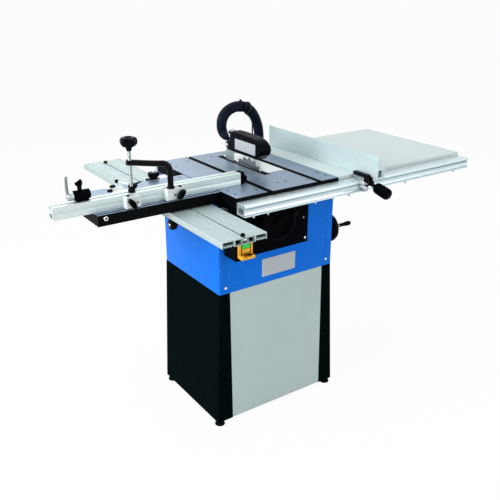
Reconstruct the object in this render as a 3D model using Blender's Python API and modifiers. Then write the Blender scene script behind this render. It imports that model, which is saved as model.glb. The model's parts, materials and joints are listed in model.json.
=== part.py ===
"""Panel saw: a cabinet saw with a sliding carriage, a cross table with a mitre fence and hold-down,
a rip fence on a front rail, an extension table, and a tilting, rising saw unit under the main table.

Lengths are in metres, +Z is up, +X runs along the front rail and +Y along the blade, away from the
operator. Every length below is measured from the floor under the main table's front left corner, and
the whole saw hangs on one empty that moves its middle to the origin.
"""

import math

import bmesh
import bpy
from mathutils import Matrix, Vector

# ---------------------------------------------------------------- driving sizes
TOUCH = 0.0003          # gap between pieces that touch
RUN = 0.0005            # gap between pieces that slide on each other
SHEET = 0.002           # wall of the cabinet's sheet metal

TABLE_TOP = 0.850       # height of the work surface
TABLE_WIDTH = 0.412     # main table along X
TABLE_DEPTH = 0.525     # main table along Y
TABLE_PLATE = 0.012     # thickness of the tables' top plate
TABLE_SKIRT = 0.034     # height of the tables' outer edge
SKIRT_WALL = 0.008

HOUSING_LEFT = -0.033   # upper housing, from its left wall
HOUSING_RIGHT = 0.442
HOUSING_FRONT = 0.055
HOUSING_REAR = 0.425
BASE_TOP = 0.507        # height of the seam between base and housing
BASE_BOTTOM = 0.018     # height of the base's lower edge
BASE_SPREAD = 0.021     # how far each side leans out from the seam to the floor
BASE_SPREAD_FRONT = 0.010
PANEL_INSET = 0.0405    # from the housing's side to the front panel's edge
FOOT_RADIUS = 0.018
FOOT_STEM = 0.006

BLADE_X = 0.240         # the blade's plane
BLADE_Y = 0.286         # the arbor's place along the table
BLADE_RADIUS = 0.125
BLADE_HEIGHT = 0.0315   # how far the blade stands above the table at rest
BLADE_THICKNESS = 0.003
ARBOR_RADIUS = 0.010

MOTOR_RADIUS = 0.060
MOTOR_LENGTH = 0.132
MOTOR_Y = 0.240
MOTOR_DROP = 0.098      # from the arbor down to the motor's shaft
ARBOR_PULLEY_RADIUS = 0.020
MOTOR_PULLEY_RADIUS = 0.028
BELT_THICKNESS = 0.003

TRUNNION_RADIUS = 0.110  # the curved ways that the saw unit tilts on
TRUNNION_WEB = 0.025
SHOE_WEB = 0.0175
WAY_THICKNESS = 0.0115

SLOT_WIDTH = 0.009      # the table's guide slots
SLOT_DEPTH = 0.007
SLOT_LEFT = 0.128
SLOT_RIGHT = 0.328

EXTENSION_RIGHT = 1.025
EXTENSION_FRONT = 0.004
EXTENSION_DEPTH = 0.504
EXTENSION_SHEET = 0.002
RAIL_LEFT = 0.001
RAIL_RIGHT = 1.024
RAIL_DEPTH = 0.046
RAIL_TOP = 0.837
RAIL_BOTTOM = 0.799
REAR_RAIL_DEPTH = 0.020

FENCE_X = 0.497         # the rip fence's left face
FENCE_FRONT = -0.095
FENCE_REAR = 0.516
FENCE_HEIGHT = 0.076
FENCE_WALL = 0.004
FENCE_BOX_WIDTH = 0.034
FENCE_BOX_HEIGHT = 0.035
FENCE_LEVER_TILT = 12.0
FENCE_KNOB_RADIUS = 0.0130
FENCE_KNOB_LENGTH = 0.072

BEAM_FRONT = -0.207     # the sliding carriage
BEAM_REAR = 0.781
BEAM_LEFT = -0.182
BEAM_WIDTH = 0.148
BEAM_TOP = 0.813
BEAM_HEIGHT = 0.020
BEAM_SLOT = 0.006
STOP_RADIUS = 0.0065
GUIDE_FRONT = 0.030
GUIDE_REAR = 0.450
GUIDE_WIDTH = 0.068
GUIDE_HEIGHT = 0.032

CROSS_LEFT = -0.412     # the cross table
CROSS_RIGHT = -0.003
CROSS_FRONT = 0.087
CROSS_REAR = 0.325
CROSS_SLOT_Y = 0.0985

BAR_LEFT = -0.530       # the cross fence
BAR_RIGHT = 0.0915
BAR_FRONT = 0.113
BAR_SIZE = 0.038
PIVOT_X = -0.297        # the mitre pivot
POST_X = -0.169         # the hold-down's post
POST_Y = 0.101
POST_RADIUS = 0.009
BRACKET_DEPTH = 0.023
BRACKET_HEIGHT = 0.036
ARM_TOP = 0.973
ARM_BEND = 0.026
SPINDLE_X = -0.285
SPINDLE_Y = 0.126
SPINDLE_RADIUS = 0.0050
SPINDLE_KNOB_Z = 1.012
FLIP_X = -0.436         # middle of the flip stop
FLIP_RADIUS = 0.0142

SWITCH_LEFT = -0.0135   # the switch box on the housing's front
SWITCH_WIDTH = 0.0755
SWITCH_DEPTH = 0.0692
SWITCH_BOTTOM = 0.6455
SWITCH_HEIGHT = 0.100

WHEEL_X = 0.180         # the height wheel, in the housing's front opening
WHEEL_Z = 0.735
WHEEL_RADIUS = 0.070
OPENING_LEFT = 0.068
OPENING_RIGHT = 0.331
OPENING_BOTTOM = 0.6195
OPENING_TOP = 0.800
TILT_WHEEL_Y = 0.105    # the tilt wheel, on the housing's right side
TILT_WHEEL_Z = 0.628
TILT_WHEEL_RADIUS = 0.0535
SHAFT_RADIUS = 0.008

GUARD_WIDTH = 0.046
GUARD_PIVOT_Y = 0.393
GUARD_PIVOT_Z = 0.909
PORT_Z = 0.9455
PORT_END_Y = 0.388
HOSE_RADIUS = 0.0175
OUTLET_X = 0.200        # the dust outlet on the housing's rear
OUTLET_Z = 0.660
OUTLET_RADIUS = 0.050
OUTLET_LENGTH = 0.190
STUB_Y = 0.566
STUB_END_X = 0.290
ROD_X = 0.4425
ROD_Y = 0.5555
ROD_RADIUS = 0.003

# The hose's centreline from the guard's cuff, over and down to the dust outlet.
CUFF_ROUTE = [
    (0.240, 0.3883, 0.9455),
    (0.240, 0.393, 0.9455),
    (0.2395, 0.404, 0.9420),
    (0.2390, 0.415, 0.9370),
    (0.2385, 0.424, 0.9350),
    (0.2385, 0.430, 0.9350),
]
HOSE_ROUTE = [
    (0.2385, 0.4303, 0.9350),
    (0.2385, 0.436, 0.9350),
    (0.2388, 0.447, 0.9390),
    (0.2395, 0.457, 0.9470),
    (0.2420, 0.466, 0.9600),
    (0.2534, 0.478, 0.9853),
    (0.2777, 0.490, 1.0049),
    (0.3129, 0.503, 1.0160),
    (0.3538, 0.517, 1.0161),
    (0.3949, 0.530, 1.0054),
    (0.4290, 0.542, 0.9825),
    (0.4542, 0.554, 0.9545),
    (0.4731, 0.563, 0.9211),
    (0.4840, 0.570, 0.8838),
    (0.4870, 0.5745, 0.8449),
    (0.4820, 0.576, 0.8050),
    (0.4680, 0.575, 0.7640),
    (0.4430, 0.573, 0.7240),
    (0.4080, 0.5705, 0.6920),
    (0.3650, 0.568, 0.6700),
    (0.3250, 0.566, 0.6600),
    (0.2903, 0.566, 0.6600),
]

# ---------------------------------------------------------------- sizes that follow
TABLE_UNDER = TABLE_TOP - TABLE_PLATE
SKIRT_BOTTOM = TABLE_TOP - TABLE_SKIRT
HOUSING_TOP = SKIRT_BOTTOM - TOUCH
HOUSING_BOTTOM = BASE_TOP + TOUCH
BLADE_Z = TABLE_TOP + BLADE_HEIGHT - BLADE_RADIUS
MOTOR_Z = BLADE_Z - MOTOR_DROP
BEAM_BOTTOM = BEAM_TOP - BEAM_HEIGHT
BEAM_MIDDLE = BEAM_LEFT + BEAM_WIDTH / 2
GUIDE_TOP = BEAM_BOTTOM - RUN
BAR_BOTTOM = TABLE_TOP + RUN
BAR_TOP = BAR_BOTTOM + BAR_SIZE
BAR_REAR = BAR_FRONT + BAR_SIZE
BAR_MIDDLE_Y = BAR_FRONT + BAR_SIZE / 2
LOCK_Z = BEAM_BOTTOM - 0.021
BRACKET_REAR = BAR_FRONT - TOUCH
BRACKET_FRONT = BRACKET_REAR - BRACKET_DEPTH
FLIP_Z = BAR_TOP + 0.018
FENCE_BOTTOM = TABLE_TOP + RUN
FENCE_TOP = FENCE_BOTTOM + FENCE_HEIGHT
MIDDLE_X = (BAR_LEFT + EXTENSION_RIGHT) / 2
MIDDLE_Y = (BEAM_FRONT + BEAM_REAR) / 2

COLOURS = {
    "blue_paint": ((0.030, 0.210, 0.780), 0.35, 0.0),
    "black_paint": ((0.012, 0.016, 0.016), 0.45, 0.0),
    "grey_paint": ((0.430, 0.530, 0.520), 0.45, 0.0),
    "machined": ((0.350, 0.410, 0.480), 0.35, 0.9),
    "aluminium": ((0.620, 0.680, 0.680), 0.35, 0.9),
    "white_casting": ((0.800, 0.840, 0.840), 0.40, 0.0),
    "pale_paint": ((0.760, 0.810, 0.810), 0.35, 0.0),
    "steel": ((0.550, 0.570, 0.580), 0.30, 1.0),
    "dark_steel": ((0.120, 0.125, 0.130), 0.45, 0.8),
    "black_plastic": ((0.010, 0.011, 0.013), 0.35, 0.0),
    "rubber": ((0.015, 0.016, 0.018), 0.70, 0.0),
    "yellow": ((0.950, 0.500, 0.050), 0.40, 0.0),
    "green": ((0.050, 0.720, 0.120), 0.35, 0.0),
    "red": ((0.600, 0.020, 0.020), 0.35, 0.0),
}


# ---------------------------------------------------------------- scene and tools
def clear_scene():
    for old in list(bpy.data.objects):
        bpy.data.objects.remove(old, do_unlink=True)


def new_collection(name):
    group = bpy.data.collections.new(name)
    bpy.context.scene.collection.children.link(group)
    return group


clear_scene()
PARTS = new_collection("panel_saw")
CUTTERS = new_collection("cutters")
FRAME = bpy.data.objects.new("saw_frame", None)
FRAME.location = (-MIDDLE_X, -MIDDLE_Y, 0)
PARTS.objects.link(FRAME)
AXES = {
    "X": Matrix(((0, 0, 1), (1, 0, 0), (0, 1, 0))).to_4x4(),    # outline (y, z) pushed along X
    "Y": Matrix(((1, 0, 0), (0, 0, -1), (0, 1, 0))).to_4x4(),   # outline (x, z) pushed along -Y
    "Z": Matrix.Identity(4),                                    # outline (x, y) pushed along Z
}


def finish(name, looks):
    """The sub-part's own Principled material."""
    colour, roughness, metallic = COLOURS[looks]
    made = bpy.data.materials.new(name)
    made.use_nodes = True
    shader = made.node_tree.nodes["Principled BSDF"]
    shader.inputs["Base Color"].default_value = (*colour, 1)
    shader.inputs["Roughness"].default_value = roughness
    shader.inputs["Metallic"].default_value = metallic
    made.diffuse_color = (*colour, 1)
    return made


def publish(shape, name, looks, pivot=(0, 0, 0)):
    """Names a finished shape and puts its origin on the pivot, which is a moving piece's joint."""
    shape.name = name
    shape.data.name = name
    shape.data.transform(Matrix.Translation(-Vector(pivot)))
    shape.location = pivot
    shape.parent = FRAME
    shape.data.materials.clear()
    shape.data.materials.append(finish(name, looks))
    PARTS.objects.link(shape)
    return shape


def from_bmesh(solid, smooth=False):
    mesh = bpy.data.meshes.new("shape")
    bmesh.ops.recalc_face_normals(solid, faces=solid.faces)
    solid.to_mesh(mesh)
    solid.free()
    if smooth:
        mesh.shade_smooth()
        mesh.set_sharp_from_angle(angle=math.radians(35))
    return bpy.data.objects.new("shape", mesh)


def box(low, high):
    """A block between two corners."""
    low, high = Vector(low), Vector(high)
    solid = bmesh.new()
    size = Matrix.Diagonal((*(high - low), 1))
    bmesh.ops.create_cube(solid, size=1, matrix=Matrix.Translation((low + high) / 2) @ size)
    return from_bmesh(solid)


def rod(start, end, radius, sides=24, end_radius=None):
    """A round bar, or a cone, between two points."""
    start, end = Vector(start), Vector(end)
    along = end - start
    turn = along.to_track_quat("Z", "Y").to_matrix().to_4x4()
    solid = bmesh.new()
    bmesh.ops.create_cone(
        solid, cap_ends=True, segments=sides, radius1=radius,
        radius2=radius if end_radius is None else end_radius,
        depth=along.length, matrix=Matrix.Translation((start + end) / 2) @ turn,
    )
    return from_bmesh(solid, smooth=True)


def turned(profile, foot, direction, steps=32):
    """A turned piece: (radius, height) points from its top centre down its outside to its foot centre."""
    mesh = bpy.data.meshes.new("shape")
    points = [(radius, 0, height) for radius, height in profile]
    mesh.from_pydata(points, [(i, i + 1) for i in range(len(points) - 1)], [])
    shape = bpy.data.objects.new("shape", mesh)
    screw = shape.modifiers.new("turn", "SCREW")
    screw.steps = screw.render_steps = steps
    screw.use_merge_vertices = True
    screw.merge_threshold = 1e-5
    turn = Vector(direction).to_track_quat("Z", "Y").to_matrix().to_4x4()
    return solid_copy(shape, Matrix.Translation(foot) @ turn)


def solid_copy(shape, place=None):
    """The evaluated shape as one welded mesh, moved to its place; the source is removed."""
    bpy.context.scene.collection.objects.link(shape)
    bpy.context.view_layer.update()
    seen = shape.evaluated_get(bpy.context.evaluated_depsgraph_get())
    mesh = bpy.data.meshes.new_from_object(seen)
    mesh.transform(place or Matrix.Identity(4))
    bpy.data.objects.remove(shape, do_unlink=True)
    solid = bmesh.new()
    solid.from_mesh(mesh)
    bmesh.ops.remove_doubles(solid, verts=solid.verts, dist=1e-6)
    return from_bmesh(solid, smooth=True)


def outline(loops, low, high, axis):
    """A flat outline, with any further loops as holes, pushed from low to high along an axis."""
    data = bpy.data.curves.new("shape", "CURVE")
    data.dimensions = "2D"
    data.fill_mode = "BOTH"
    data.extrude = (high - low) / 2
    for loop in loops:
        line = data.splines.new("POLY")
        line.points.add(len(loop) - 1)
        for point, (u, v) in zip(line.points, loop):
            point.co = (u, v, 0, 1)
        line.use_cyclic_u = True
    middle = (high + low) / 2
    shift = {"X": (middle, 0, 0), "Y": (0, middle, 0), "Z": (0, 0, middle)}[axis]
    return solid_copy(bpy.data.objects.new("shape", data), Matrix.Translation(shift) @ AXES[axis])


def tube(points, radius, sides_level=2):
    """A round wire or pipe along points, as a mesh with closed ends."""
    return solid_copy(pipe(points, radius, sides_level))


def pipe(points, radius, sides_level=2):
    """A round wire or pipe along points, left as a curve."""
    data = bpy.data.curves.new("shape", "CURVE")
    data.dimensions = "3D"
    data.bevel_depth = radius
    data.bevel_resolution = sides_level
    data.use_fill_caps = True
    line = data.splines.new("POLY")
    line.points.add(len(points) - 1)
    for point, place in zip(line.points, points):
        point.co = (*place, 1)
    return bpy.data.objects.new("shape", data)


def rectangle(left, right, bottom, top):
    return [(left, bottom), (right, bottom), (right, top), (left, top)]


def rounded(left, right, bottom, top, radius, steps=4):
    """A rectangle with round corners."""
    corners = [(right, top, 0), (left, top, 90), (left, bottom, 180), (right, bottom, 270)]
    loop = []
    for x, y, start in corners:
        centre_x = x - radius if x == right else x + radius
        centre_y = y - radius if y == top else y + radius
        loop += arc(centre_x, centre_y, radius, start, start + 90, steps)
    return loop


def arc(x, y, radius, start, end, steps):
    """Points on a circle from one angle to another, in degrees."""
    turns = [math.radians(start + (end - start) * i / steps) for i in range(steps + 1)]
    return [(x + radius * math.cos(t), y + radius * math.sin(t)) for t in turns]


def combine(shape, others, operation):
    """Adds or takes away other shapes with exact Booleans; the others are kept as wire guides."""
    for other in others:
        other.name = "cutter"
        other.display_type = "WIRE"
        other.hide_render = True
        other.parent = FRAME
        CUTTERS.objects.link(other)
        step = shape.modifiers.new("shape", "BOOLEAN")
        step.operation = operation
        step.solver = "EXACT"
        step.object = other
    return shape


def add(shape, *others):
    return combine(shape, others, "UNION")


def cut(shape, *others):
    return combine(shape, others, "DIFFERENCE")


def soften(shape, width, segments=1):
    """Breaks the edges of a block or casting."""
    bevel = shape.modifiers.new("edges", "BEVEL")
    bevel.width = width
    bevel.segments = segments
    bevel.limit_method = "ANGLE"
    bevel.angle_limit = math.radians(40)
    return shape


def smooth_route(points, spacing):
    """Points at an even spacing, with square ends, on a Catmull-Rom curve through the route's points."""
    route = [Vector(p) for p in points]
    ends = [2 * route[0] - route[1], *route, 2 * route[-1] - route[-2]]
    fine = []
    for a, b, c, d in zip(ends, ends[1:], ends[2:], ends[3:]):
        for i in range(12):
            t = i / 12
            fine.append(0.5 * (2 * b + (c - a) * t + (2 * a - 5 * b + 4 * c - d) * t * t
                               + (3 * b - a - 3 * c + d) * t * t * t))
    fine.append(route[-1])
    lengths = [0.0]
    for a, b in zip(fine, fine[1:]):
        lengths.append(lengths[-1] + (b - a).length)
    count = max(2, round(lengths[-1] / spacing))
    even = [route[0], route[0] + (route[1] - route[0]).normalized() * 0.004]
    for i in range(1, count):
        want = lengths[-1] * i / count
        k = max(j for j in range(len(fine)) if lengths[j] <= want + 1e-9)
        k = min(k, len(fine) - 2)
        share = (want - lengths[k]) / (lengths[k + 1] - lengths[k])
        even.append(fine[k].lerp(fine[k + 1], min(1, share)))
    return [*even, route[-1] + (route[-2] - route[-1]).normalized() * 0.004, route[-1]]


# ---------------------------------------------------------------- base and housing
def side_panel(name, outer, inner, sign):
    """A leaning side of the base, with its front and rear flanges and two corner plates for the feet."""
    top, bottom = BASE_TOP, BASE_BOTTOM
    front_low, rear_low = HOUSING_FRONT - BASE_SPREAD_FRONT, HOUSING_REAR + 0.003
    outer_low = outer + sign * BASE_SPREAD
    rows = []
    solid = bmesh.new()
    for z, edge, front, rear in ((bottom, outer_low, front_low, rear_low), (top, outer, HOUSING_FRONT, HOUSING_REAR)):
        inside = edge - sign * SHEET
        ring = [(inner, front), (edge, front), (edge, rear), (inner, rear), (inner, rear - SHEET),
                (inside, rear - SHEET), (inside, front + SHEET), (inner, front + SHEET)]
        rows.append([solid.verts.new((x, y, z)) for x, y in ring])
    for i in range(8):
        k = (i + 1) % 8
        solid.faces.new([rows[0][i], rows[0][k], rows[1][k], rows[1][i]])
    solid.faces.new(rows[0])
    solid.faces.new(rows[1])
    panel = from_bmesh(solid)
    plates = []
    for y_low, y_high in ((front_low + 0.0005, front_low + 0.050), (rear_low - 0.050, rear_low - 0.0005)):
        x_edge, x_in = outer_low - sign * 0.0005, outer_low - sign * 0.050
        plates.append(box((min(x_edge, x_in), y_low, bottom), (max(x_edge, x_in), y_high, bottom + 0.003)))
    return publish(add(panel, *plates), name, "black_paint")


def face_panel(name, y_top, y_bottom):
    """The plain front or rear sheet between the side panels' flanges."""
    left = HOUSING_LEFT + PANEL_INSET + TOUCH
    right = HOUSING_RIGHT - PANEL_INSET - TOUCH
    sign = 1 if y_top < 0.2 else -1
    top, bottom = BASE_TOP, BASE_BOTTOM + 0.002
    loop = [(y_bottom, bottom), (y_bottom + sign * SHEET, bottom), (y_top + sign * SHEET, top), (y_top, top)]
    return publish(outline([loop], left, right, "X"), name, "grey_paint")


def base():
    side_panel("base_left_panel", HOUSING_LEFT, HOUSING_LEFT + PANEL_INSET, -1)
    side_panel("base_right_panel", HOUSING_RIGHT, HOUSING_RIGHT - PANEL_INSET, 1)
    face_panel("base_front_panel", HOUSING_FRONT, HOUSING_FRONT - BASE_SPREAD_FRONT)
    face_panel("base_rear_panel", HOUSING_REAR, HOUSING_REAR + 0.003)
    inset = 0.017
    left = HOUSING_LEFT - BASE_SPREAD + inset
    right = HOUSING_RIGHT + BASE_SPREAD - inset
    front = HOUSING_FRONT - BASE_SPREAD_FRONT + inset
    rear = HOUSING_REAR + 0.003 - inset
    pad = [(0, BASE_BOTTOM - TOUCH), (FOOT_STEM, BASE_BOTTOM - TOUCH), (FOOT_STEM, 0.012),
           (0.010, 0.0115), (FOOT_RADIUS - 0.002, 0.008), (FOOT_RADIUS, 0.005), (FOOT_RADIUS, 0), (0, 0)]
    for side, x in (("left", left), ("right", right)):
        for end, y in (("front", front), ("rear", rear)):
            publish(turned(pad, (x, y, 0), (0, 0, 1), 24), f"foot_{end}_{side}", "rubber")


def housing():
    """The blue sheet housing: four walls, a front opening, and cut-outs for shafts, dust and knife."""
    outer = rounded(HOUSING_LEFT, HOUSING_RIGHT, HOUSING_FRONT, HOUSING_REAR, 0.006, 3)
    inner = rounded(HOUSING_LEFT + SHEET, HOUSING_RIGHT - SHEET, HOUSING_FRONT + SHEET,
                    HOUSING_REAR - SHEET, 0.004, 3)
    shell = outline([outer, inner], HOUSING_BOTTOM, HOUSING_TOP, "Z")
    left, right, near, far = HOUSING_LEFT + 0.001, HOUSING_RIGHT - 0.001, HOUSING_FRONT + 0.001, 0.395
    lip = outline(
        [[(left + 0.006, near), (right - 0.006, near), (right, near + 0.006), (right, far), (right - 0.015, far),
          (right - 0.015, near + 0.009), (left + 0.015, near + 0.009), (left + 0.015, far), (left, far),
          (left, near + 0.006)]],
        HOUSING_TOP - SHEET - 0.0005, HOUSING_TOP - 0.0005, "Z")
    front = box((OPENING_LEFT, HOUSING_FRONT - 0.01, OPENING_BOTTOM),
                (OPENING_RIGHT, HOUSING_FRONT + 0.008, OPENING_TOP))
    shaft = rod((HOUSING_RIGHT - 0.02, TILT_WHEEL_Y, TILT_WHEEL_Z),
                (HOUSING_RIGHT + 0.02, TILT_WHEEL_Y, TILT_WHEEL_Z), SHAFT_RADIUS + RUN)
    dust = rod((OUTLET_X, HOUSING_REAR - 0.02, OUTLET_Z), (OUTLET_X, HOUSING_REAR + 0.02, OUTLET_Z),
               OUTLET_RADIUS - 0.004, 32)
    knife = box((0.140, HOUSING_REAR - 0.02, 0.760), (0.275, HOUSING_REAR + 0.02, HOUSING_TOP + 0.01))
    publish(cut(add(shell, lip), front, shaft, dust, knife), "housing", "blue_paint")


def control_panel():
    """The black plate behind the front opening, with the height wheel's bearing boss."""
    front = HOUSING_FRONT + SHEET + TOUCH
    back = front + 0.003
    plate = box((OPENING_LEFT - 0.012, front, OPENING_BOTTOM - 0.012),
                (OPENING_RIGHT + 0.009, back, OPENING_TOP + 0.004))
    boss = rod((WHEEL_X, front + 0.001, WHEEL_Z), (WHEEL_X, back + 0.012, WHEEL_Z), SHAFT_RADIUS + 0.006)
    bore = rod((WHEEL_X, front - 0.01, WHEEL_Z), (WHEEL_X, back + 0.02, WHEEL_Z), SHAFT_RADIUS + TOUCH)
    publish(cut(add(plate, boss), bore), "control_panel", "black_plastic")


# ---------------------------------------------------------------- tables
def table_casting(left, right, front, rear):
    """A cast table: a top plate with a skirt round its edge, open underneath."""
    block = box((left, front, SKIRT_BOTTOM), (right, rear, TABLE_TOP))
    hollow = box((left + SKIRT_WALL, front + SKIRT_WALL, SKIRT_BOTTOM - 0.01),
                 (right - SKIRT_WALL, rear - SKIRT_WALL, TABLE_UNDER))
    return cut(block, hollow)


def main_table():
    slab = table_casting(0, TABLE_WIDTH, 0, TABLE_DEPTH)
    ribs = []
    for y in (HOUSING_FRONT + 0.001, HOUSING_REAR - SHEET + 0.0005):
        for x_low, x_high in ((SKIRT_WALL - 0.002, 0.120), (0.292, TABLE_WIDTH - SKIRT_WALL + 0.002)):
            ribs.append(box((x_low, y, SKIRT_BOTTOM), (x_high, y + 0.006, TABLE_UNDER + 0.002)))
    slots = [
        box((x - SLOT_WIDTH / 2, -0.01, TABLE_TOP - SLOT_DEPTH), (x + SLOT_WIDTH / 2, TABLE_DEPTH + 0.01, 0.9))
        for x in (SLOT_LEFT, SLOT_RIGHT)
    ]
    slit = box((BLADE_X - 0.0065, 0.168, TABLE_UNDER - 0.02), (BLADE_X + 0.0045, 0.470, TABLE_TOP + 0.02))
    opening = box((BLADE_X + 0.004, 0.180, TABLE_UNDER - 0.02), (0.3235, 0.469, TABLE_TOP + 0.02))
    relief = box((BLADE_X - 0.040, 0.160, TABLE_UNDER - 0.02), (BLADE_X + 0.02, 0.480, TABLE_TOP - 0.003))
    holes = []
    for x, y in ((0.390, 0.086), (0.389, 0.042), (0.307, 0.038), (0.235, 0.063), (0.206, 0.065),
                 (0.101, 0.039), (0.022, 0.040), (0.021, 0.083), (0.028, 0.470), (0.028, 0.430),
                 (0.095, 0.470), (0.205, 0.480)):
        holes.append(rod((x, y, TABLE_UNDER - 0.01), (x, y, TABLE_TOP + 0.01), 0.0038, 12))
    publish(cut(add(slab, *ribs), *slots, slit, opening, relief, *holes), "main_table", "machined")


def table_insert():
    """The plate beside the blade, with a rebated left edge that leaves the blade room to tilt."""
    left, right = BLADE_X + 0.0045, 0.3235 - TOUCH
    loop = [(left, TABLE_TOP - 0.0035), (left + 0.008, TABLE_UNDER + 0.0005), (right, TABLE_UNDER + 0.0005),
            (right, TABLE_TOP - 0.0002), (left, TABLE_TOP - 0.0002)]
    publish(outline([loop], 0.180 + TOUCH, 0.469 - TOUCH, "Y"), "table_insert", "aluminium")


def extension_table():
    left = TABLE_WIDTH + TOUCH
    rear = EXTENSION_FRONT + EXTENSION_DEPTH
    pan = box((left, EXTENSION_FRONT, SKIRT_BOTTOM + 0.004), (EXTENSION_RIGHT, rear, TABLE_TOP))
    wall = EXTENSION_SHEET
    hollow = box((left + wall, EXTENSION_FRONT + wall, SKIRT_BOTTOM - 0.01),
                 (EXTENSION_RIGHT - wall, rear - wall, TABLE_TOP - wall))
    publish(cut(pan, hollow), "extension_table", "pale_paint")


def front_rail():
    """An extruded rail with a stepped front, a slot below and two hollow chambers."""
    back, front, top, low = -TOUCH, -RAIL_DEPTH, RAIL_TOP, RAIL_BOTTOM
    loop = [
        (front + 0.004, top), (front, top - 0.004), (front, top - 0.011), (front + 0.003, top - 0.0135),
        (front + 0.003, top - 0.0175), (front, top - 0.020), (front, low + 0.003), (front + 0.003, low),
        (front + 0.014, low), (front + 0.014, low + 0.003), (front + 0.010, low + 0.003),
        (front + 0.010, low + 0.010), (front + 0.028, low + 0.010), (front + 0.028, low + 0.003),
        (front + 0.024, low + 0.003), (front + 0.024, low), (back, low), (back, top),
    ]
    upper = rounded(front + 0.006, back - 0.004, top - 0.014, top - 0.004, 0.003, 2)
    publish(outline([loop, upper], RAIL_LEFT, RAIL_RIGHT, "X"), "front_rail", "aluminium")


def rear_rail():
    low = TABLE_DEPTH + TOUCH
    bar = box((RAIL_LEFT, low, RAIL_BOTTOM), (RAIL_RIGHT, low + REAR_RAIL_DEPTH, RAIL_TOP))
    lugs = [box((x, EXTENSION_FRONT + EXTENSION_DEPTH + TOUCH, RAIL_BOTTOM + 0.004),
                (x + 0.040, low + 0.002, RAIL_TOP - 0.004)) for x in (0.500, 0.950)]
    rod_lug = box((ROD_X - 0.010, low + REAR_RAIL_DEPTH - 0.001, RAIL_TOP - 0.034),
                  (ROD_X + 0.010, ROD_Y + 0.008, RAIL_TOP - 0.022))
    bore = rod((ROD_X, ROD_Y, RAIL_TOP - 0.040), (ROD_X, ROD_Y, RAIL_TOP), ROD_RADIUS + TOUCH, 12)
    publish(cut(add(bar, *lugs, rod_lug), bore), "rear_rail", "aluminium")


# ---------------------------------------------------------------- sliding carriage and cross table
def carriage_guide():
    """The fixed guide bar with the two brackets that carry it on the housing's left wall."""
    left = BEAM_MIDDLE - GUIDE_WIDTH / 2
    bar = box((left, GUIDE_FRONT, GUIDE_TOP - GUIDE_HEIGHT), (left + GUIDE_WIDTH, GUIDE_REAR, GUIDE_TOP))
    arms = [box((left + 0.010, y, GUIDE_TOP - GUIDE_HEIGHT + 0.002),
                (HOUSING_LEFT - TOUCH, y + 0.050, GUIDE_TOP - 0.006)) for y in (0.090, 0.340)]
    bore = rod((left - 0.01, 0.100, LOCK_Z), (left + 0.02, 0.100, LOCK_Z), 0.004 + TOUCH, 16)
    publish(cut(add(bar, *arms), bore), "carriage_guide", "dark_steel")


def carriage_beam():
    """The long sliding beam: a wide extrusion with a T-slot, three chambers and lips over the guide."""
    left, right, top, low = BEAM_LEFT, BEAM_LEFT + BEAM_WIDTH, BEAM_TOP, BEAM_BOTTOM
    middle, half = BEAM_MIDDLE, BEAM_SLOT / 2
    loop = [
        (left, top), (left, top - 0.010), (left + 0.003, top - 0.010), (left + 0.003, low),
        (right - 0.003, low), (right - 0.003, top - 0.010), (right, top - 0.010), (right, top),
        (middle + half, top), (middle + half, top - 0.004), (middle + 0.007, top - 0.004),
        (middle + 0.007, top - 0.010), (middle - 0.007, top - 0.010), (middle - 0.007, top - 0.004),
        (middle - half, top - 0.004), (middle - half, top),
    ]
    chambers = [
        rectangle(left + 0.008, left + 0.034, low + 0.005, top - 0.005),
        rectangle(left + 0.040, middle - 0.012, low + 0.004, top - 0.005),
        rectangle(middle + 0.012, right - 0.040, low + 0.004, top - 0.005),
        rectangle(right - 0.034, right - 0.008, low + 0.005, top - 0.005),
    ]
    publish(outline([loop, *chambers], BEAM_FRONT, BEAM_REAR, "Y"), "carriage_beam", "aluminium",
            (BEAM_MIDDLE, 0, BEAM_BOTTOM))


def end_stops():
    """The round stops in the beam's slot: a knob above and a stem down to the slot's floor."""
    floor = BEAM_TOP - 0.010 + TOUCH
    profile = [(0, BEAM_TOP + 0.009), (STOP_RADIUS - 0.0015, BEAM_TOP + 0.009),
               (STOP_RADIUS, BEAM_TOP + 0.0075), (STOP_RADIUS, BEAM_TOP + TOUCH),
               (BEAM_SLOT / 2 - TOUCH, BEAM_TOP + TOUCH), (BEAM_SLOT / 2 - TOUCH, floor), (0, floor)]
    for end, y in (("front", BEAM_FRONT + 0.012), ("rear", BEAM_REAR - 0.034)):
        publish(turned(profile, (BEAM_MIDDLE, y, 0), (0, 0, 1), 20), f"end_stop_{end}", "rubber",
                (BEAM_MIDDLE, y, BEAM_TOP))


def carriage_lock():
    """The knob and stud that clamp the beam, screwed into the guide's left side."""
    left = BEAM_MIDDLE - GUIDE_WIDTH / 2
    profile = [(0, 0.038), (0.016, 0.038), (0.018, 0.036), (0.018, 0.019), (0.016, 0.017), (0.008, 0.0165),
               (0.004, 0.014), (0.004, -0.012), (0, -0.012)]
    publish(turned(profile, (left, 0.100, LOCK_Z), (-1, 0, 0), 24), "carriage_lock_knob", "black_plastic",
            (left, 0.100, LOCK_Z))


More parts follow.
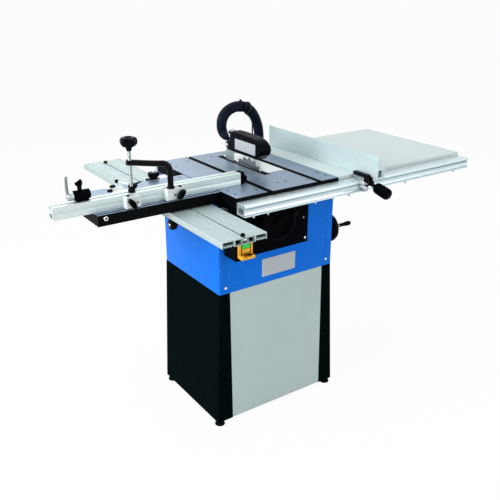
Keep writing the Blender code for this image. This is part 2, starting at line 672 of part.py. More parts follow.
def cross_table():
    """The table on the carriage, with a T-slot along its front and a lug for its clamp at the rear."""
    slab = table_casting(CROSS_LEFT, CROSS_RIGHT, CROSS_FRONT, CROSS_REAR)
    seats = [box((x, CROSS_FRONT + 0.002, BEAM_TOP + TOUCH), (x + 0.012, CROSS_REAR - 0.002, TABLE_UNDER + 0.002))
             for x in (BEAM_LEFT + 0.004, BEAM_LEFT + BEAM_WIDTH - 0.016)]
    lug = box((BEAM_MIDDLE - 0.022, CROSS_REAR - 0.002, TABLE_TOP - 0.022),
              (BEAM_MIDDLE + 0.022, CROSS_REAR + 0.032, TABLE_TOP - 0.002))
    slot = box((CROSS_LEFT - 0.01, CROSS_SLOT_Y - 0.0035, TABLE_TOP - 0.008),
               (CROSS_RIGHT + 0.01, CROSS_SLOT_Y + 0.0035, TABLE_TOP + 0.01))
    bore = rod((BEAM_MIDDLE, CROSS_REAR + 0.016, 0.80), (BEAM_MIDDLE, CROSS_REAR + 0.016, 0.87),
               0.004 + TOUCH, 16)
    holes = [rod((x, y, TABLE_UNDER - 0.01), (x, y, TABLE_TOP + 0.01), 0.0038, 12)
             for x, y in ((-0.030, 0.300), (-0.030, 0.180), (-0.385, 0.300), (-0.215, 0.300))]
    publish(cut(add(slab, *seats, lug), slot, bore, *holes), "cross_table", "machined",
            (BEAM_MIDDLE, CROSS_REAR, BEAM_TOP))


def cross_clamp():
    """The star knob whose bolt holds the cross table down into the beam's slot."""
    top = TABLE_TOP - 0.002 + TOUCH
    y = CROSS_REAR + 0.016
    stem = [(0, top + 0.024), (0.010, top + 0.024), (0.012, top + 0.021), (0.012, top), (0.004, top),
            (0.004, BEAM_TOP + 0.001), (BEAM_SLOT / 2 - TOUCH, BEAM_TOP + 0.001),
            (BEAM_SLOT / 2 - TOUCH, BEAM_TOP - 0.008), (0, BEAM_TOP - 0.008)]
    knob = turned(stem, (BEAM_MIDDLE, y, 0), (0, 0, 1), 20)
    lobes = []
    for i in range(5):
        turn = math.radians(90 + 72 * i)
        x_lobe, y_lobe = BEAM_MIDDLE + 0.013 * math.cos(turn), y + 0.013 * math.sin(turn)
        lobes.append(rod((x_lobe, y_lobe, top + 0.008), (x_lobe, y_lobe, top + 0.0225), 0.007, 12))
    publish(add(knob, *lobes), "cross_clamp_knob", "black_plastic", (BEAM_MIDDLE, y, top))


# ---------------------------------------------------------------- cross fence and what it carries
def cross_fence():
    """A square extrusion with T-slots above and behind and a fine groove along its front."""
    front, rear, low, top = BAR_FRONT, BAR_REAR, BAR_BOTTOM, BAR_TOP
    y, z = BAR_MIDDLE_Y, BAR_BOTTOM + BAR_SIZE / 2
    loop = [
        (front, low), (rear, low), (rear, z - 0.0035), (rear - 0.003, z - 0.0035), (rear - 0.003, z - 0.006),
        (rear - 0.008, z - 0.006), (rear - 0.008, z + 0.006), (rear - 0.003, z + 0.006),
        (rear - 0.003, z + 0.0035), (rear, z + 0.0035), (rear, top), (y + 0.0035, top),
        (y + 0.0035, top - 0.003), (y + 0.006, top - 0.003), (y + 0.006, top - 0.008),
        (y - 0.006, top - 0.008), (y - 0.006, top - 0.003), (y - 0.0035, top - 0.003),
        (y - 0.0035, top), (front, top), (front, z + 0.0015), (front + 0.002, z), (front, z - 0.0015),
    ]
    hollow = rectangle(front + 0.005, rear - 0.012, low + 0.004, z - 0.002)
    publish(outline([loop, hollow], BAR_LEFT, BAR_RIGHT, "X"), "cross_fence", "aluminium",
            (PIVOT_X, CROSS_SLOT_Y, TABLE_TOP))
    block = box((BAR_RIGHT + TOUCH, BAR_FRONT + 0.004, BAR_BOTTOM), (BAR_RIGHT + 0.013, BAR_REAR - 0.002, BAR_TOP))
    wing = box((BAR_RIGHT + 0.010, BAR_FRONT + 0.006, BAR_BOTTOM), (BAR_RIGHT + 0.032, BAR_REAR - 0.012,
                                                                  BAR_TOP - 0.016))
    publish(add(block, wing), "fence_end_block", "black_plastic", (BAR_RIGHT, BAR_MIDDLE_Y, BAR_BOTTOM))


def bracket(name, left, right, extras=(), holes=()):
    """A cast bracket on the cross fence's front face."""
    low = BAR_BOTTOM
    block = box((left, BRACKET_FRONT, low), (right, BRACKET_REAR, low + BRACKET_HEIGHT))
    return publish(cut(add(soften(block, 0.003), *extras), *holes), name, "white_casting",
                   ((left + right) / 2, BRACKET_REAR, low))


def fence_brackets():
    left = PIVOT_X - 0.024
    middle_z = BAR_BOTTOM + 0.018
    pin = rod((PIVOT_X, CROSS_SLOT_Y, TABLE_TOP - 0.007), (PIVOT_X, CROSS_SLOT_Y, BAR_BOTTOM + 0.006), 0.0030, 16)
    bore = rod((PIVOT_X - 0.008, BRACKET_FRONT - 0.01, middle_z), (PIVOT_X - 0.008, BRACKET_FRONT + 0.012,
                                                                  middle_z), 0.004 + TOUCH, 16)
    bracket("pivot_bracket", left, left + 0.048, (pin,), (bore,))
    left = POST_X - 0.018
    post = rod((POST_X, POST_Y, BAR_BOTTOM + 0.003), (POST_X, POST_Y, BAR_TOP + 0.01), POST_RADIUS + TOUCH)
    bore = rod((POST_X + 0.024, BRACKET_FRONT - 0.01, middle_z), (POST_X + 0.024, BRACKET_FRONT + 0.012,
                                                                 middle_z), 0.004 + TOUCH, 16)
    bracket("post_bracket", left, left + 0.058, (), (post, bore))


def wing_knob(name, x, tilt):
    """An oval clamping knob on a stud, in the front of a bracket."""
    z = BAR_BOTTOM + 0.018
    face = BRACKET_FRONT - 0.0005
    stud = rod((x, face + 0.010, z), (x, face - 0.010, z), 0.004, 16)
    turn = math.radians(tilt)
    loop = []
    for u, v in [(0.0175 * math.cos(a), 0.0085 * math.sin(a)) for a in (2 * math.pi * i / 20 for i in range(20))]:
        loop.append((x + u * math.cos(turn) - v * math.sin(turn), z + u * math.sin(turn) + v * math.cos(turn)))
    wing = outline([loop], face - 0.018, face - 0.002, "Y")
    publish(add(stud, wing), name, "black_plastic", (x, face, z))


def mitre_plate():
    """The plate behind the fence with the mitre arc, and the clamp lever that stands on it."""
    left, right = PIVOT_X + 0.008, PIVOT_X + 0.062
    low, top = TABLE_TOP + RUN, TABLE_TOP + 0.0045
    front, rear = BAR_REAR + TOUCH, 0.312
    loop = [(left, front), (right, front), (right, front + 0.060), (right - 0.004, rear), (left, rear)]
    radius = 0.188
    slot = arc(PIVOT_X, CROSS_SLOT_Y, radius + 0.003, 83, 72, 6) + arc(PIVOT_X, CROSS_SLOT_Y, radius - 0.003, 72, 83, 6)
    plate = outline([loop, slot], low, top, "Z")
    bore = rod((PIVOT_X + 0.036, BAR_REAR + 0.020, low - 0.01), (PIVOT_X + 0.036, BAR_REAR + 0.020, top + 0.01),
               0.004 + TOUCH, 16)
    publish(cut(plate, bore), "mitre_plate", "white_casting", (PIVOT_X, CROSS_SLOT_Y, TABLE_TOP))
    x, y, base_z = PIVOT_X + 0.036, BAR_REAR + 0.020, top + TOUCH
    hub = turned([(0, base_z + 0.022), (0.008, base_z + 0.022), (0.0095, base_z + 0.019), (0.0095, base_z),
                  (0.004, base_z), (0.004, low + TOUCH), (0, low + TOUCH)], (x, y, 0), (0, 0, 1), 20)
    lever = rod((x, y, base_z + 0.013), (x + 0.036, y + 0.008, base_z + 0.020), 0.005, 12, 0.0035)
    handle = rod((x, y, base_z + 0.010), (x - 0.028, y + 0.044, base_z + 0.016), 0.0035, 12)
    knob = rod((x - 0.026, y + 0.041, base_z + 0.0155), (x - 0.033, y + 0.052, base_z + 0.0175), 0.0060, 12)
    publish(add(hub, lever, handle, knob), "mitre_lever", "black_plastic", (x, y, base_z))


def flip_stop():
    """The stop on the fence's top slot: its body, its wing knob and the paddle that flips down."""
    y = BAR_MIDDLE_Y
    left, right = FLIP_X - 0.0245, FLIP_X + 0.0245
    barrel = rod((left, y, FLIP_Z), (right, y, FLIP_Z), FLIP_RADIUS, 28)
    foot = box((left + 0.006, y - 0.009, BAR_TOP + RUN), (right - 0.006, y + 0.009, FLIP_Z))
    key = box((left + 0.012, y - 0.003, BAR_TOP - 0.006), (right - 0.012, y + 0.003, BAR_TOP + 0.004))
    bore = rod((FLIP_X - 0.004, y, FLIP_Z + 0.006), (FLIP_X - 0.004, y, FLIP_Z + 0.05), 0.003 + TOUCH, 16)
    publish(cut(add(barrel, foot, key), bore), "stop_block", "black_plastic", (FLIP_X, y, BAR_TOP))
    hub = rod((left - TOUCH, y, FLIP_Z), (left - 0.020, y, FLIP_Z), 0.0125, 24)
    paddle = outline([[(y - 0.006, FLIP_Z), (y + 0.006, FLIP_Z), (y + 0.0055, FLIP_Z + 0.055),
                       (y, FLIP_Z + 0.063), (y - 0.0055, FLIP_Z + 0.055)]], left - 0.0180, left - 0.0120, "X")
    publish(add(hub, paddle), "stop_paddle", "steel", (left, y, FLIP_Z))
    x, foot_z = FLIP_X - 0.004, FLIP_Z + FLIP_RADIUS
    stem = turned([(0, foot_z + 0.012), (0.0055, foot_z + 0.012), (0.0065, foot_z + 0.001), (0.003, foot_z + 0.001),
                   (0.003, FLIP_Z + 0.0065), (0, FLIP_Z + 0.0065)], (x, y, 0), (0, 0, 1), 16)
    wings = outline([[(x - 0.004, foot_z + 0.004), (x + 0.004, foot_z + 0.004), (x + 0.009, foot_z + 0.030),
                      (x + 0.003, foot_z + 0.032), (x, foot_z + 0.014), (x - 0.009, foot_z + 0.024),
                      (x - 0.013, foot_z + 0.020)]], y - 0.0025, y + 0.0025, "Y")
    publish(add(stem, wings), "stop_knob", "black_plastic", (x, y, foot_z))


def hold_down():
    """The arm on its post, the spindle through the arm's end, and the lobed knob on the spindle."""
    reach = Vector((SPINDLE_X - POST_X, SPINDLE_Y - POST_Y, 0))
    along = reach.normalized()
    elbow = Vector((POST_X, POST_Y, ARM_TOP))
    path = [Vector((POST_X, POST_Y, BAR_BOTTOM + 0.0035)), Vector((POST_X, POST_Y, ARM_TOP - ARM_BEND))]
    for i in range(1, 8):
        turn = math.radians(90 * i / 8)
        path.append(elbow + along * ARM_BEND * (1 - math.cos(turn))
                    - Vector((0, 0, ARM_BEND * (1 - math.sin(turn)))))
    path += [elbow + along * ARM_BEND, elbow + along * (reach.length + 0.010)]
    arm = tube(path, POST_RADIUS, 3)
    collar_low = BAR_BOTTOM + BRACKET_HEIGHT + RUN
    collar = rod((POST_X, POST_Y, collar_low), (POST_X, POST_Y, collar_low + 0.006), POST_RADIUS + 0.003, 20)
    bore = rod((SPINDLE_X, SPINDLE_Y, ARM_TOP - 0.03), (SPINDLE_X, SPINDLE_Y, ARM_TOP + 0.03),
               SPINDLE_RADIUS + TOUCH, 20)
    publish(cut(add(arm, collar), bore), "hold_down_arm", "black_paint", (POST_X, POST_Y, BAR_TOP))
    foot = BAR_TOP + 0.001
    knob_foot = SPINDLE_KNOB_Z
    spindle = turned([(0, knob_foot - TOUCH), (SPINDLE_RADIUS, knob_foot - TOUCH), (SPINDLE_RADIUS, foot + 0.012),
                      (0.0085, foot + 0.010), (0.0105, foot + 0.004), (0.0105, foot), (0, foot)],
                     (SPINDLE_X, SPINDLE_Y, 0), (0, 0, 1), 20)
    publish(spindle, "hold_down_spindle", "steel", (SPINDLE_X, SPINDLE_Y, foot))
    z = knob_foot
    core = turned([(0, z + 0.041), (0.016, z + 0.040), (0.021, z + 0.036), (0.0215, z + 0.020), (0.012, z + 0.012),
                   (0.008, z), (0, z)], (SPINDLE_X, SPINDLE_Y, 0), (0, 0, 1), 24)
    lobes = []
    for i in range(5):
        turn = math.radians(20 + 72 * i)
        x, y = SPINDLE_X + 0.0175 * math.cos(turn), SPINDLE_Y + 0.0175 * math.sin(turn)
        lobes.append(rod((x, y, z + 0.015), (x, y, z + 0.038), 0.0090, 14))
    publish(add(core, *lobes), "hold_down_knob", "black_plastic", (SPINDLE_X, SPINDLE_Y, z))


# ---------------------------------------------------------------- rip fence
def rip_fence():
    """The fence extrusion, the carrier that rides on the front rail, and the clamping lever."""
    left, low, top = FENCE_X, FENCE_BOTTOM, FENCE_TOP
    right = left + FENCE_BOX_WIDTH
    loop = [
        (left, low), (right, low), (right, low + 0.012), (right - 0.004, low + 0.012),
        (right - 0.004, low + 0.010), (right - 0.010, low + 0.010), (right - 0.010, low + 0.026),
        (right - 0.004, low + 0.026), (right - 0.004, low + 0.023), (right, low + 0.023),
        (right, low + FENCE_BOX_HEIGHT - 0.006), (right - 0.006, low + FENCE_BOX_HEIGHT),
        (left + 0.014, low + FENCE_BOX_HEIGHT + 0.006), (left + 0.012, low + 0.054),
        (left + FENCE_WALL, low + 0.060), (left + FENCE_WALL, top), (left, top),
    ]
    hollow = rectangle(left + FENCE_WALL, right - 0.014, low + 0.005, low + FENCE_BOX_HEIGHT - 0.006)
    pivot = (FENCE_X, 0, RAIL_TOP)
    publish(outline([loop, hollow], FENCE_FRONT, FENCE_REAR, "Y"), "rip_fence", "aluminium", pivot)
    rail_low = RAIL_TOP + RUN
    saddle = box((FENCE_X - 0.0265, -0.062, rail_low), (right, -TOUCH, FENCE_BOTTOM - TOUCH))
    jaw = box((FENCE_X - 0.0265, -0.062, RAIL_BOTTOM + 0.004), (right, -RAIL_DEPTH - RUN, rail_low + 0.002))
    ears = [box((x, -0.080, RAIL_TOP - 0.014), (x + 0.006, -0.060, FENCE_BOTTOM - TOUCH))
            for x in (FENCE_X - 0.024, FENCE_X - 0.002)]
    pin_y, pin_z = -0.072, RAIL_TOP - 0.003
    bores = [rod((x - 0.01, pin_y, pin_z), (x + 0.016, pin_y, pin_z), 0.003 + TOUCH, 14)
             for x in (FENCE_X - 0.024, FENCE_X - 0.002)]
    publish(cut(add(saddle, jaw, *ears), *bores), "fence_carrier", "black_paint", pivot)
    x_low, x_high = FENCE_X - 0.018 + RUN, FENCE_X - 0.002 - RUN
    pin = rod((FENCE_X - 0.026, pin_y, pin_z), (FENCE_X + 0.006, pin_y, pin_z), 0.003, 14)
    hub = rod((x_low, pin_y, pin_z), (x_high, pin_y, pin_z), 0.0085, 20)
    tilt = math.radians(FENCE_LEVER_TILT)
    away = Vector((0, -math.cos(tilt), -math.sin(tilt)))
    middle = Vector(((x_low + x_high) / 2, pin_y, pin_z))
    neck = rod(middle, middle + away * 0.024, 0.0065, 16)
    grip_profile = [(0, FENCE_KNOB_LENGTH), (0.009, FENCE_KNOB_LENGTH), (FENCE_KNOB_RADIUS, FENCE_KNOB_LENGTH - 0.004),
                    (FENCE_KNOB_RADIUS, 0.004), (0.009, 0), (0, 0)]
    grip = turned(grip_profile, middle + away * 0.020, away, 24)
    publish(add(hub, pin, neck, grip), "fence_lever", "black_plastic", (middle.x, pin_y, pin_z))


# ---------------------------------------------------------------- switch
def switch():
    front = HOUSING_FRONT - TOUCH - SWITCH_DEPTH
    right = SWITCH_LEFT + SWITCH_WIDTH
    top = SWITCH_BOTTOM + SWITCH_HEIGHT
    case = box((SWITCH_LEFT, front, SWITCH_BOTTOM), (right, HOUSING_FRONT - TOUCH, top))
    well = box((SWITCH_LEFT + 0.016, front - 0.01, SWITCH_BOTTOM + 0.014), (SWITCH_LEFT + 0.058, front + 0.020,
                                                                            SWITCH_BOTTOM + 0.082))
    publish(cut(soften(case, 0.003), well), "switch_box", "black_plastic")
    left, wide = SWITCH_LEFT + 0.006, 0.054
    low, high = SWITCH_BOTTOM + 0.0145, SWITCH_BOTTOM + 0.086
    face = front - TOUCH
    plate = box((left, face - 0.007, low), (left + wide, face, high))
    lip = box((left + 0.003, face - 0.024, low - 0.002), (left + wide - 0.003, face - 0.001, low + 0.009))
    window = box((left + 0.0125, face - 0.02, low + 0.013), (left + wide - 0.0105, face + 0.01, high - 0.008))
    scoop = box((left + 0.0125, face - 0.030, low + 0.004), (left + wide - 0.0105, face - 0.0072, low + 0.02))
    publish(cut(add(soften(plate, 0.0015), lip), window, scoop), "switch_frame", "yellow")
    x_low, x_high = left + 0.0125 + RUN, left + wide - 0.0105 - RUN
    for name, looks, z_low, z_high, proud in (
        ("stop_button", "red", low + 0.013 + RUN, low + 0.0290, 0.0085),
        ("start_button", "green", low + 0.0300, high - 0.008 - RUN, 0.0095),
    ):
        button = box((x_low, face - proud, z_low), (x_high, front + 0.010, z_high))
        publish(soften(button, 0.001), name, looks, ((x_low + x_high) / 2, front, (z_low + z_high) / 2))


# ---------------------------------------------------------------- handwheels
def handwheel(name, centre, direction, radius, shaft_length):
    """A dished wheel with a rim, a web and a hub on its shaft; the wheel's back is at the centre point."""
    profile = [
        (0, 0.026), (0.013, 0.026), (0.015, 0.023), (0.016, 0.014), (radius * 0.6, 0.010),
        (radius - 0.016, 0.014), (radius - 0.013, 0.021), (radius - 0.007, 0.024), (radius - 0.001, 0.019),
        (radius, 0.012), (radius - 0.003, 0.005), (radius - 0.009, 0.003), (radius - 0.016, 0.006),
        (radius * 0.6, 0.004), (0.016, 0.004), (0.014, 0), (SHAFT_RADIUS, 0), (SHAFT_RADIUS, -shaft_length),
        (0, -shaft_length),
    ]
    return publish(turned(profile, centre, direction, 36), name, "black_plastic", centre)


def wheels():
    handwheel("height_wheel", (WHEEL_X, 0.040, WHEEL_Z), (0, -1, 0), WHEEL_RADIUS, 0.034)
    wheel = handwheel("tilt_wheel", (HOUSING_RIGHT + 0.012, TILT_WHEEL_Y, TILT_WHEEL_Z), (1, 0, 0),
                      TILT_WHEEL_RADIUS, 0.030)
    grip_y, grip_z = TILT_WHEEL_Y - 0.0420, TILT_WHEEL_Z + 0.0152
    grip_x = HOUSING_RIGHT + 0.012 + 0.0225
    bore = rod((grip_x - 0.014, grip_y, grip_z), (grip_x + 0.02, grip_y, grip_z), 0.003 + TOUCH, 14)
    cut(wheel, bore)
    profile = [(0, 0.060), (0.0065, 0.060), (0.0082, 0.056), (0.0082, 0.040), (0.0065, 0.016), (0.0070, 0.003),
               (0.003, 0.003), (0.003, -0.0100), (0, -0.0100)]
    publish(turned(profile, (grip_x, grip_y, grip_z), (1, 0, 0), 20), "tilt_grip", "black_plastic",
            (grip_x, grip_y, grip_z))


# ---------------------------------------------------------------- saw unit
def way(radius_low, radius_high, start, end, y_low, y_high):
    """A curved way about the line where the blade meets the table top; angles in degrees from +X."""
    loop = arc(BLADE_X, TABLE_TOP, radius_high, start, end, 14) + arc(BLADE_X, TABLE_TOP, radius_low, end, start, 14)
    return outline([loop], y_low, y_high, "Y")


def trunnion():
    """The fixed curved ways at the front and rear, bolted under the table and joined by a bar."""
    inner = TRUNNION_RADIUS - TRUNNION_WEB
    front, rear = 0.085, HOUSING_REAR - SHEET - RUN
    low, top = 0.8215, TABLE_UNDER - TOUCH
    first = way(inner, TRUNNION_RADIUS, -13, -86, front, front + WAY_THICKNESS)
    second = way(inner, TRUNNION_RADIUS, -13, -86, rear - 0.0075, rear)
    feet = [box((0.320, y_low, low - 0.002), (0.374, y_high, top))
            for y_low, y_high in ((front, front + WAY_THICKNESS), (rear - 0.0075, rear))]
    bar = box((0.352, front + 0.001, low), (0.372, rear - 0.001, top - 0.0005))
    publish(add(first, *feet, bar, second), "trunnion", "dark_steel")


def tilt_frame():
    """The cradle: shoes under the curved ways, end plates with round posts, and a bar across the bottom."""
    low, shoe_in, shoe_out = 0.540, TRUNNION_RADIUS + TOUCH, TRUNNION_RADIUS + TOUCH + SHOE_WEB
    rear_face = HOUSING_REAR - SHEET - RUN
    front_plate = box((0.262, 0.0972, low), (0.345, 0.1025, 0.792))
    rear_plate = box((0.262, 0.4085, low), (0.345, 0.4145, 0.792))
    front_shoe = way(shoe_in, shoe_out, -21, -45, 0.085, 0.0985)
    rear_shoe = way(shoe_in, shoe_out, -21, -45, 0.4135, rear_face)
    bar = box((0.264, 0.0985, low + 0.0005), (0.300, 0.4125, low + 0.0155))
    posts = [rod((0.275, y, low + 0.002), (0.275, y, 0.800), 0.008, 20) for y in (0.108, 0.403)]
    pivot = (BLADE_X, BLADE_Y, TABLE_TOP)
    publish(add(front_plate, front_shoe, bar, *posts, rear_plate, rear_shoe), "tilt_frame", "dark_steel", pivot)


def lift_carriage():
    """The plate that rises on the posts, with the arbor's bearing boss and the riving knife's arm."""
    plate = box((0.268, 0.1165, 0.600), (0.280, 0.3945, 0.794))
    boss = rod((0.250, BLADE_Y, BLADE_Z), (0.269, BLADE_Y, BLADE_Z), 0.024, 28)
    side = BLADE_X + BLADE_THICKNESS / 2 + TOUCH
    inner_arm = box((side, 0.370, BLADE_Z - 0.022), (0.269, 0.3940, BLADE_Z + 0.018))
    outer_arm = box((side, 0.393, BLADE_Z - 0.022), (0.2605, 0.4135, BLADE_Z + 0.018))
    finger = box((side, 0.410, BLADE_Z - 0.022), (0.2453, 0.4205, BLADE_Z + 0.018))
    bore = rod((0.24, BLADE_Y, BLADE_Z), (0.30, BLADE_Y, BLADE_Z), ARBOR_RADIUS + TOUCH, 24)
    publish(cut(add(plate, boss, inner_arm, outer_arm, finger), bore), "lift_carriage", "dark_steel",
            (BLADE_X, BLADE_Y, BLADE_Z))


def motor():
    """The motor with the three standoffs that carry it on the lift carriage."""
    left = 0.302
    body = rod((left, MOTOR_Y, MOTOR_Z), (left + MOTOR_LENGTH, MOTOR_Y, MOTOR_Z), MOTOR_RADIUS, 36)
    standoffs = []
    for degrees in (160, 270, 380):
        turn = math.radians(degrees)
        y, z = MOTOR_Y + 0.050 * math.cos(turn), MOTOR_Z + 0.050 * math.sin(turn)
        if degrees == 270:
            z = MOTOR_Z - 0.045
        standoffs.append(rod((0.280 + TOUCH, y, z), (left + 0.004, y, z), 0.006, 12))
    bore = rod((left - 0.01, MOTOR_Y, MOTOR_Z), (left + 0.030, MOTOR_Y, MOTOR_Z), ARBOR_RADIUS + TOUCH, 20)
    publish(cut(add(body, *standoffs), bore), "motor", "dark_steel", (BLADE_X, BLADE_Y, BLADE_Z))


def drive():
    """The arbor with its inner flange and pulley, the outer flange, the motor's pulley and the belt."""
    side = BLADE_THICKNESS / 2 + TOUCH
    arbor = turned(
        [(0, 0.062), (ARBOR_RADIUS, 0.062), (ARBOR_RADIUS, 0.059), (ARBOR_PULLEY_RADIUS, 0.059),
         (ARBOR_PULLEY_RADIUS, 0.045), (ARBOR_RADIUS, 0.045), (ARBOR_RADIUS, 0.0095), (0.024, 0.0095),
         (0.024, side), (ARBOR_RADIUS, side), (ARBOR_RADIUS, -0.016), (0, -0.016)],
        (BLADE_X, BLADE_Y, BLADE_Z), (1, 0, 0), 32)
    pivot = (BLADE_X, BLADE_Y, BLADE_Z)
    publish(arbor, "arbor_shaft", "steel", pivot)
    pulley_low = BLADE_X + 0.045
    motor_pivot = (pulley_low, MOTOR_Y, MOTOR_Z)
    pulley = turned(
        [(0, 0.046), (ARBOR_RADIUS, 0.046), (ARBOR_RADIUS, 0.015), (MOTOR_PULLEY_RADIUS, 0.014),
         (MOTOR_PULLEY_RADIUS, 0), (0, 0)], motor_pivot, (1, 0, 0), 32)
    publish(pulley, "motor_pulley", "steel", motor_pivot)
    offset = Vector((BLADE_Y - MOTOR_Y, BLADE_Z - MOTOR_Z))
    heading = math.degrees(math.atan2(offset.y, offset.x))
    loops = []
    for extra in (TOUCH + BELT_THICKNESS, TOUCH):
        small, large = ARBOR_PULLEY_RADIUS + extra, MOTOR_PULLEY_RADIUS + extra
        spread = math.degrees(math.acos((large - small) / offset.length))
        loops.append(arc(BLADE_Y, BLADE_Z, small, heading - spread, heading + spread, 14)
                     + arc(MOTOR_Y, MOTOR_Z, large, heading + spread, heading + 360 - spread, 14))
    publish(outline(loops, pulley_low + 0.001, pulley_low + 0.013, "X"), "drive_belt", "rubber")


def saw_blade():
    """A thin disc with 24 raked teeth, carrying its outer flange, both bored for the arbor."""
    teeth, gullet = 24, 0.008
    loop = []
    for i in range(teeth):
        start = 2 * math.pi * i / teeth
        for share, radius in ((0.0, BLADE_RADIUS), (0.30, BLADE_RADIUS - 0.0015), (0.62, BLADE_RADIUS - gullet),
                              (0.90, BLADE_RADIUS - gullet)):
            turn = start + share * 2 * math.pi / teeth
            loop.append((BLADE_Y + radius * math.cos(turn), BLADE_Z + radius * math.sin(turn)))
    half = BLADE_THICKNESS / 2
    disc = outline([loop], BLADE_X - half, BLADE_X + half, "X")
    flange = turned([(0, 0.002), (0.022, 0.002), (0.022, -0.0050), (0.014, -0.0055), (0.014, -0.0110), (0, -0.0110)],
                    (BLADE_X - half, BLADE_Y, BLADE_Z), (1, 0, 0), 32)
    bore = rod((BLADE_X - 0.02, BLADE_Y, BLADE_Z), (BLADE_X + 0.01, BLADE_Y, BLADE_Z), ARBOR_RADIUS + TOUCH, 32)
    publish(cut(add(disc, flange), bore), "saw_blade", "steel", (BLADE_X, BLADE_Y, BLADE_Z))


def riving_knife():
    """The plate behind the blade, following the blade's rim, with the riveted pin that holds the guard."""
    clearance = BLADE_RADIUS + 0.004
    front = arc(BLADE_Y, BLADE_Z, clearance, -9, 43, 10)
    crown = arc(GUARD_PIVOT_Y, GUARD_PIVOT_Z, 0.011, 175, 20, 8)
    loop = [*front, (0.379, 0.885), *crown, (0.4330, 0.880), (0.4330, 0.802), (0.4215, 0.800),
            (0.4215, BLADE_Z - 0.022), (0.4160, BLADE_Z - 0.022)]
    half = BLADE_THICKNESS / 2
    plate = outline([loop], BLADE_X - half, BLADE_X + half, "X")
    side = GUARD_WIDTH / 2 + TOUCH
    pin = rod((BLADE_X - side - 0.001, GUARD_PIVOT_Y, GUARD_PIVOT_Z),
              (BLADE_X + side + 0.001, GUARD_PIVOT_Y, GUARD_PIVOT_Z), 0.004, 16)
    heads = [rod((BLADE_X + sign * side, GUARD_PIVOT_Y, GUARD_PIVOT_Z),
                 (BLADE_X + sign * (side + 0.004), GUARD_PIVOT_Y, GUARD_PIVOT_Z), 0.0065, 16) for sign in (-1, 1)]
    publish(add(plate, pin, *heads), "riving_knife", "steel", (BLADE_X, BLADE_Y, BLADE_Z))


# ---------------------------------------------------------------- guard and dust extraction
def guard():
    """The hood over the blade: hollow below, slotted behind for the knife, with the hose port on top."""
    half = GUARD_WIDTH / 2
    loop = [
        (0.389, 0.8955), (0.2080, 0.8940), (0.1920, 0.9020), (0.1870, 0.9140), (0.1880, 0.9280), (0.2000, 0.9420),
        (0.2200, 0.9600), (0.2350, 0.9710), (0.2500, 0.9755), (0.3500, 0.9770), (0.3600, 0.9700), (0.3640, 0.9580),
        (0.3640, 0.9310), (0.3780, 0.9270), (0.3930, 0.9250), (0.4040, 0.9170), (0.4070, 0.9080), (0.4020, 0.8990),
    ]
    hood = outline([loop], BLADE_X - half, BLADE_X + half, "X")
    plan = outline([[*arc(BLADE_X, 0.187 + half, half, 180, 360, 12),
                     *arc(BLADE_X + half - 0.012, 0.4065 - 0.012, 0.012, 0, 90, 4),
                     *arc(BLADE_X - half + 0.012, 0.4065 - 0.012, 0.012, 90, 180, 4)]], 0.86, 1.0, "Z")
    combine(hood, [plan], "INTERSECT")
    port = rod((BLADE_X, 0.340, PORT_Z), (BLADE_X, PORT_END_Y, PORT_Z), HOSE_RADIUS - 0.0015, 28)
    hollow = outline(
        [[(0.352, 0.880), (0.1985, 0.880), (0.1985, 0.921), (0.2300, 0.9500), (0.2560, 0.9700), (0.352, 0.9700)]],
        BLADE_X - half + 0.003, BLADE_X + half - 0.003, "X")
    knife = box((BLADE_X - BLADE_THICKNESS / 2 - TOUCH, 0.345, 0.870), (BLADE_X + BLADE_THICKNESS / 2 + TOUCH,
                                                                       0.42, 0.9275))
    air = rod((BLADE_X, 0.345, PORT_Z), (BLADE_X, PORT_END_Y + 0.02, PORT_Z), HOSE_RADIUS - 0.004, 28)
    bolt = rod((BLADE_X - half - 0.01, GUARD_PIVOT_Y, GUARD_PIVOT_Z), (BLADE_X + half + 0.01, GUARD_PIVOT_Y,
                                                                      GUARD_PIVOT_Z), 0.004 + TOUCH, 16)
    pivot = (BLADE_X, GUARD_PIVOT_Y, GUARD_PIVOT_Z)
    publish(cut(add(hood, port), hollow, knife, air, bolt), "guard_hood", "black_plastic", pivot)


def hoses():
    """The flexible cuff at the guard, and the dust hose from it to the outlet behind the housing."""
    for name, route, spacing in (("hose_cuff", CUFF_ROUTE, 0.010), ("dust_hose", HOSE_ROUTE, 0.016)):
        shape = pipe(smooth_route(route, spacing), HOSE_RADIUS, 3)
        publish(shape, name, "rubber")


def dust_outlet():
    """The outlet pipe on the housing's rear, with the stub that takes the guard's hose."""
    face = HOUSING_REAR + TOUCH
    end = face + OUTLET_LENGTH
    flange = box((OUTLET_X - 0.062, face, OUTLET_Z - 0.062), (OUTLET_X + 0.062, face + 0.004, OUTLET_Z + 0.062))
    pipe_out = rod((OUTLET_X, face + 0.001, OUTLET_Z), (OUTLET_X, end, OUTLET_Z), OUTLET_RADIUS, 40)
    stub = rod((OUTLET_X, STUB_Y, OUTLET_Z), (STUB_END_X, STUB_Y, OUTLET_Z), HOSE_RADIUS - 0.0005, 28)
    stub_air = rod((OUTLET_X, STUB_Y, OUTLET_Z), (STUB_END_X + 0.02, STUB_Y, OUTLET_Z), HOSE_RADIUS - 0.003, 28)
    air = rod((OUTLET_X, face - 0.01, OUTLET_Z), (OUTLET_X, end + 0.01, OUTLET_Z), OUTLET_RADIUS - 0.003, 40)
    publish(cut(add(flange, pipe_out, stub), stub_air, air), "dust_outlet", "black_plastic")


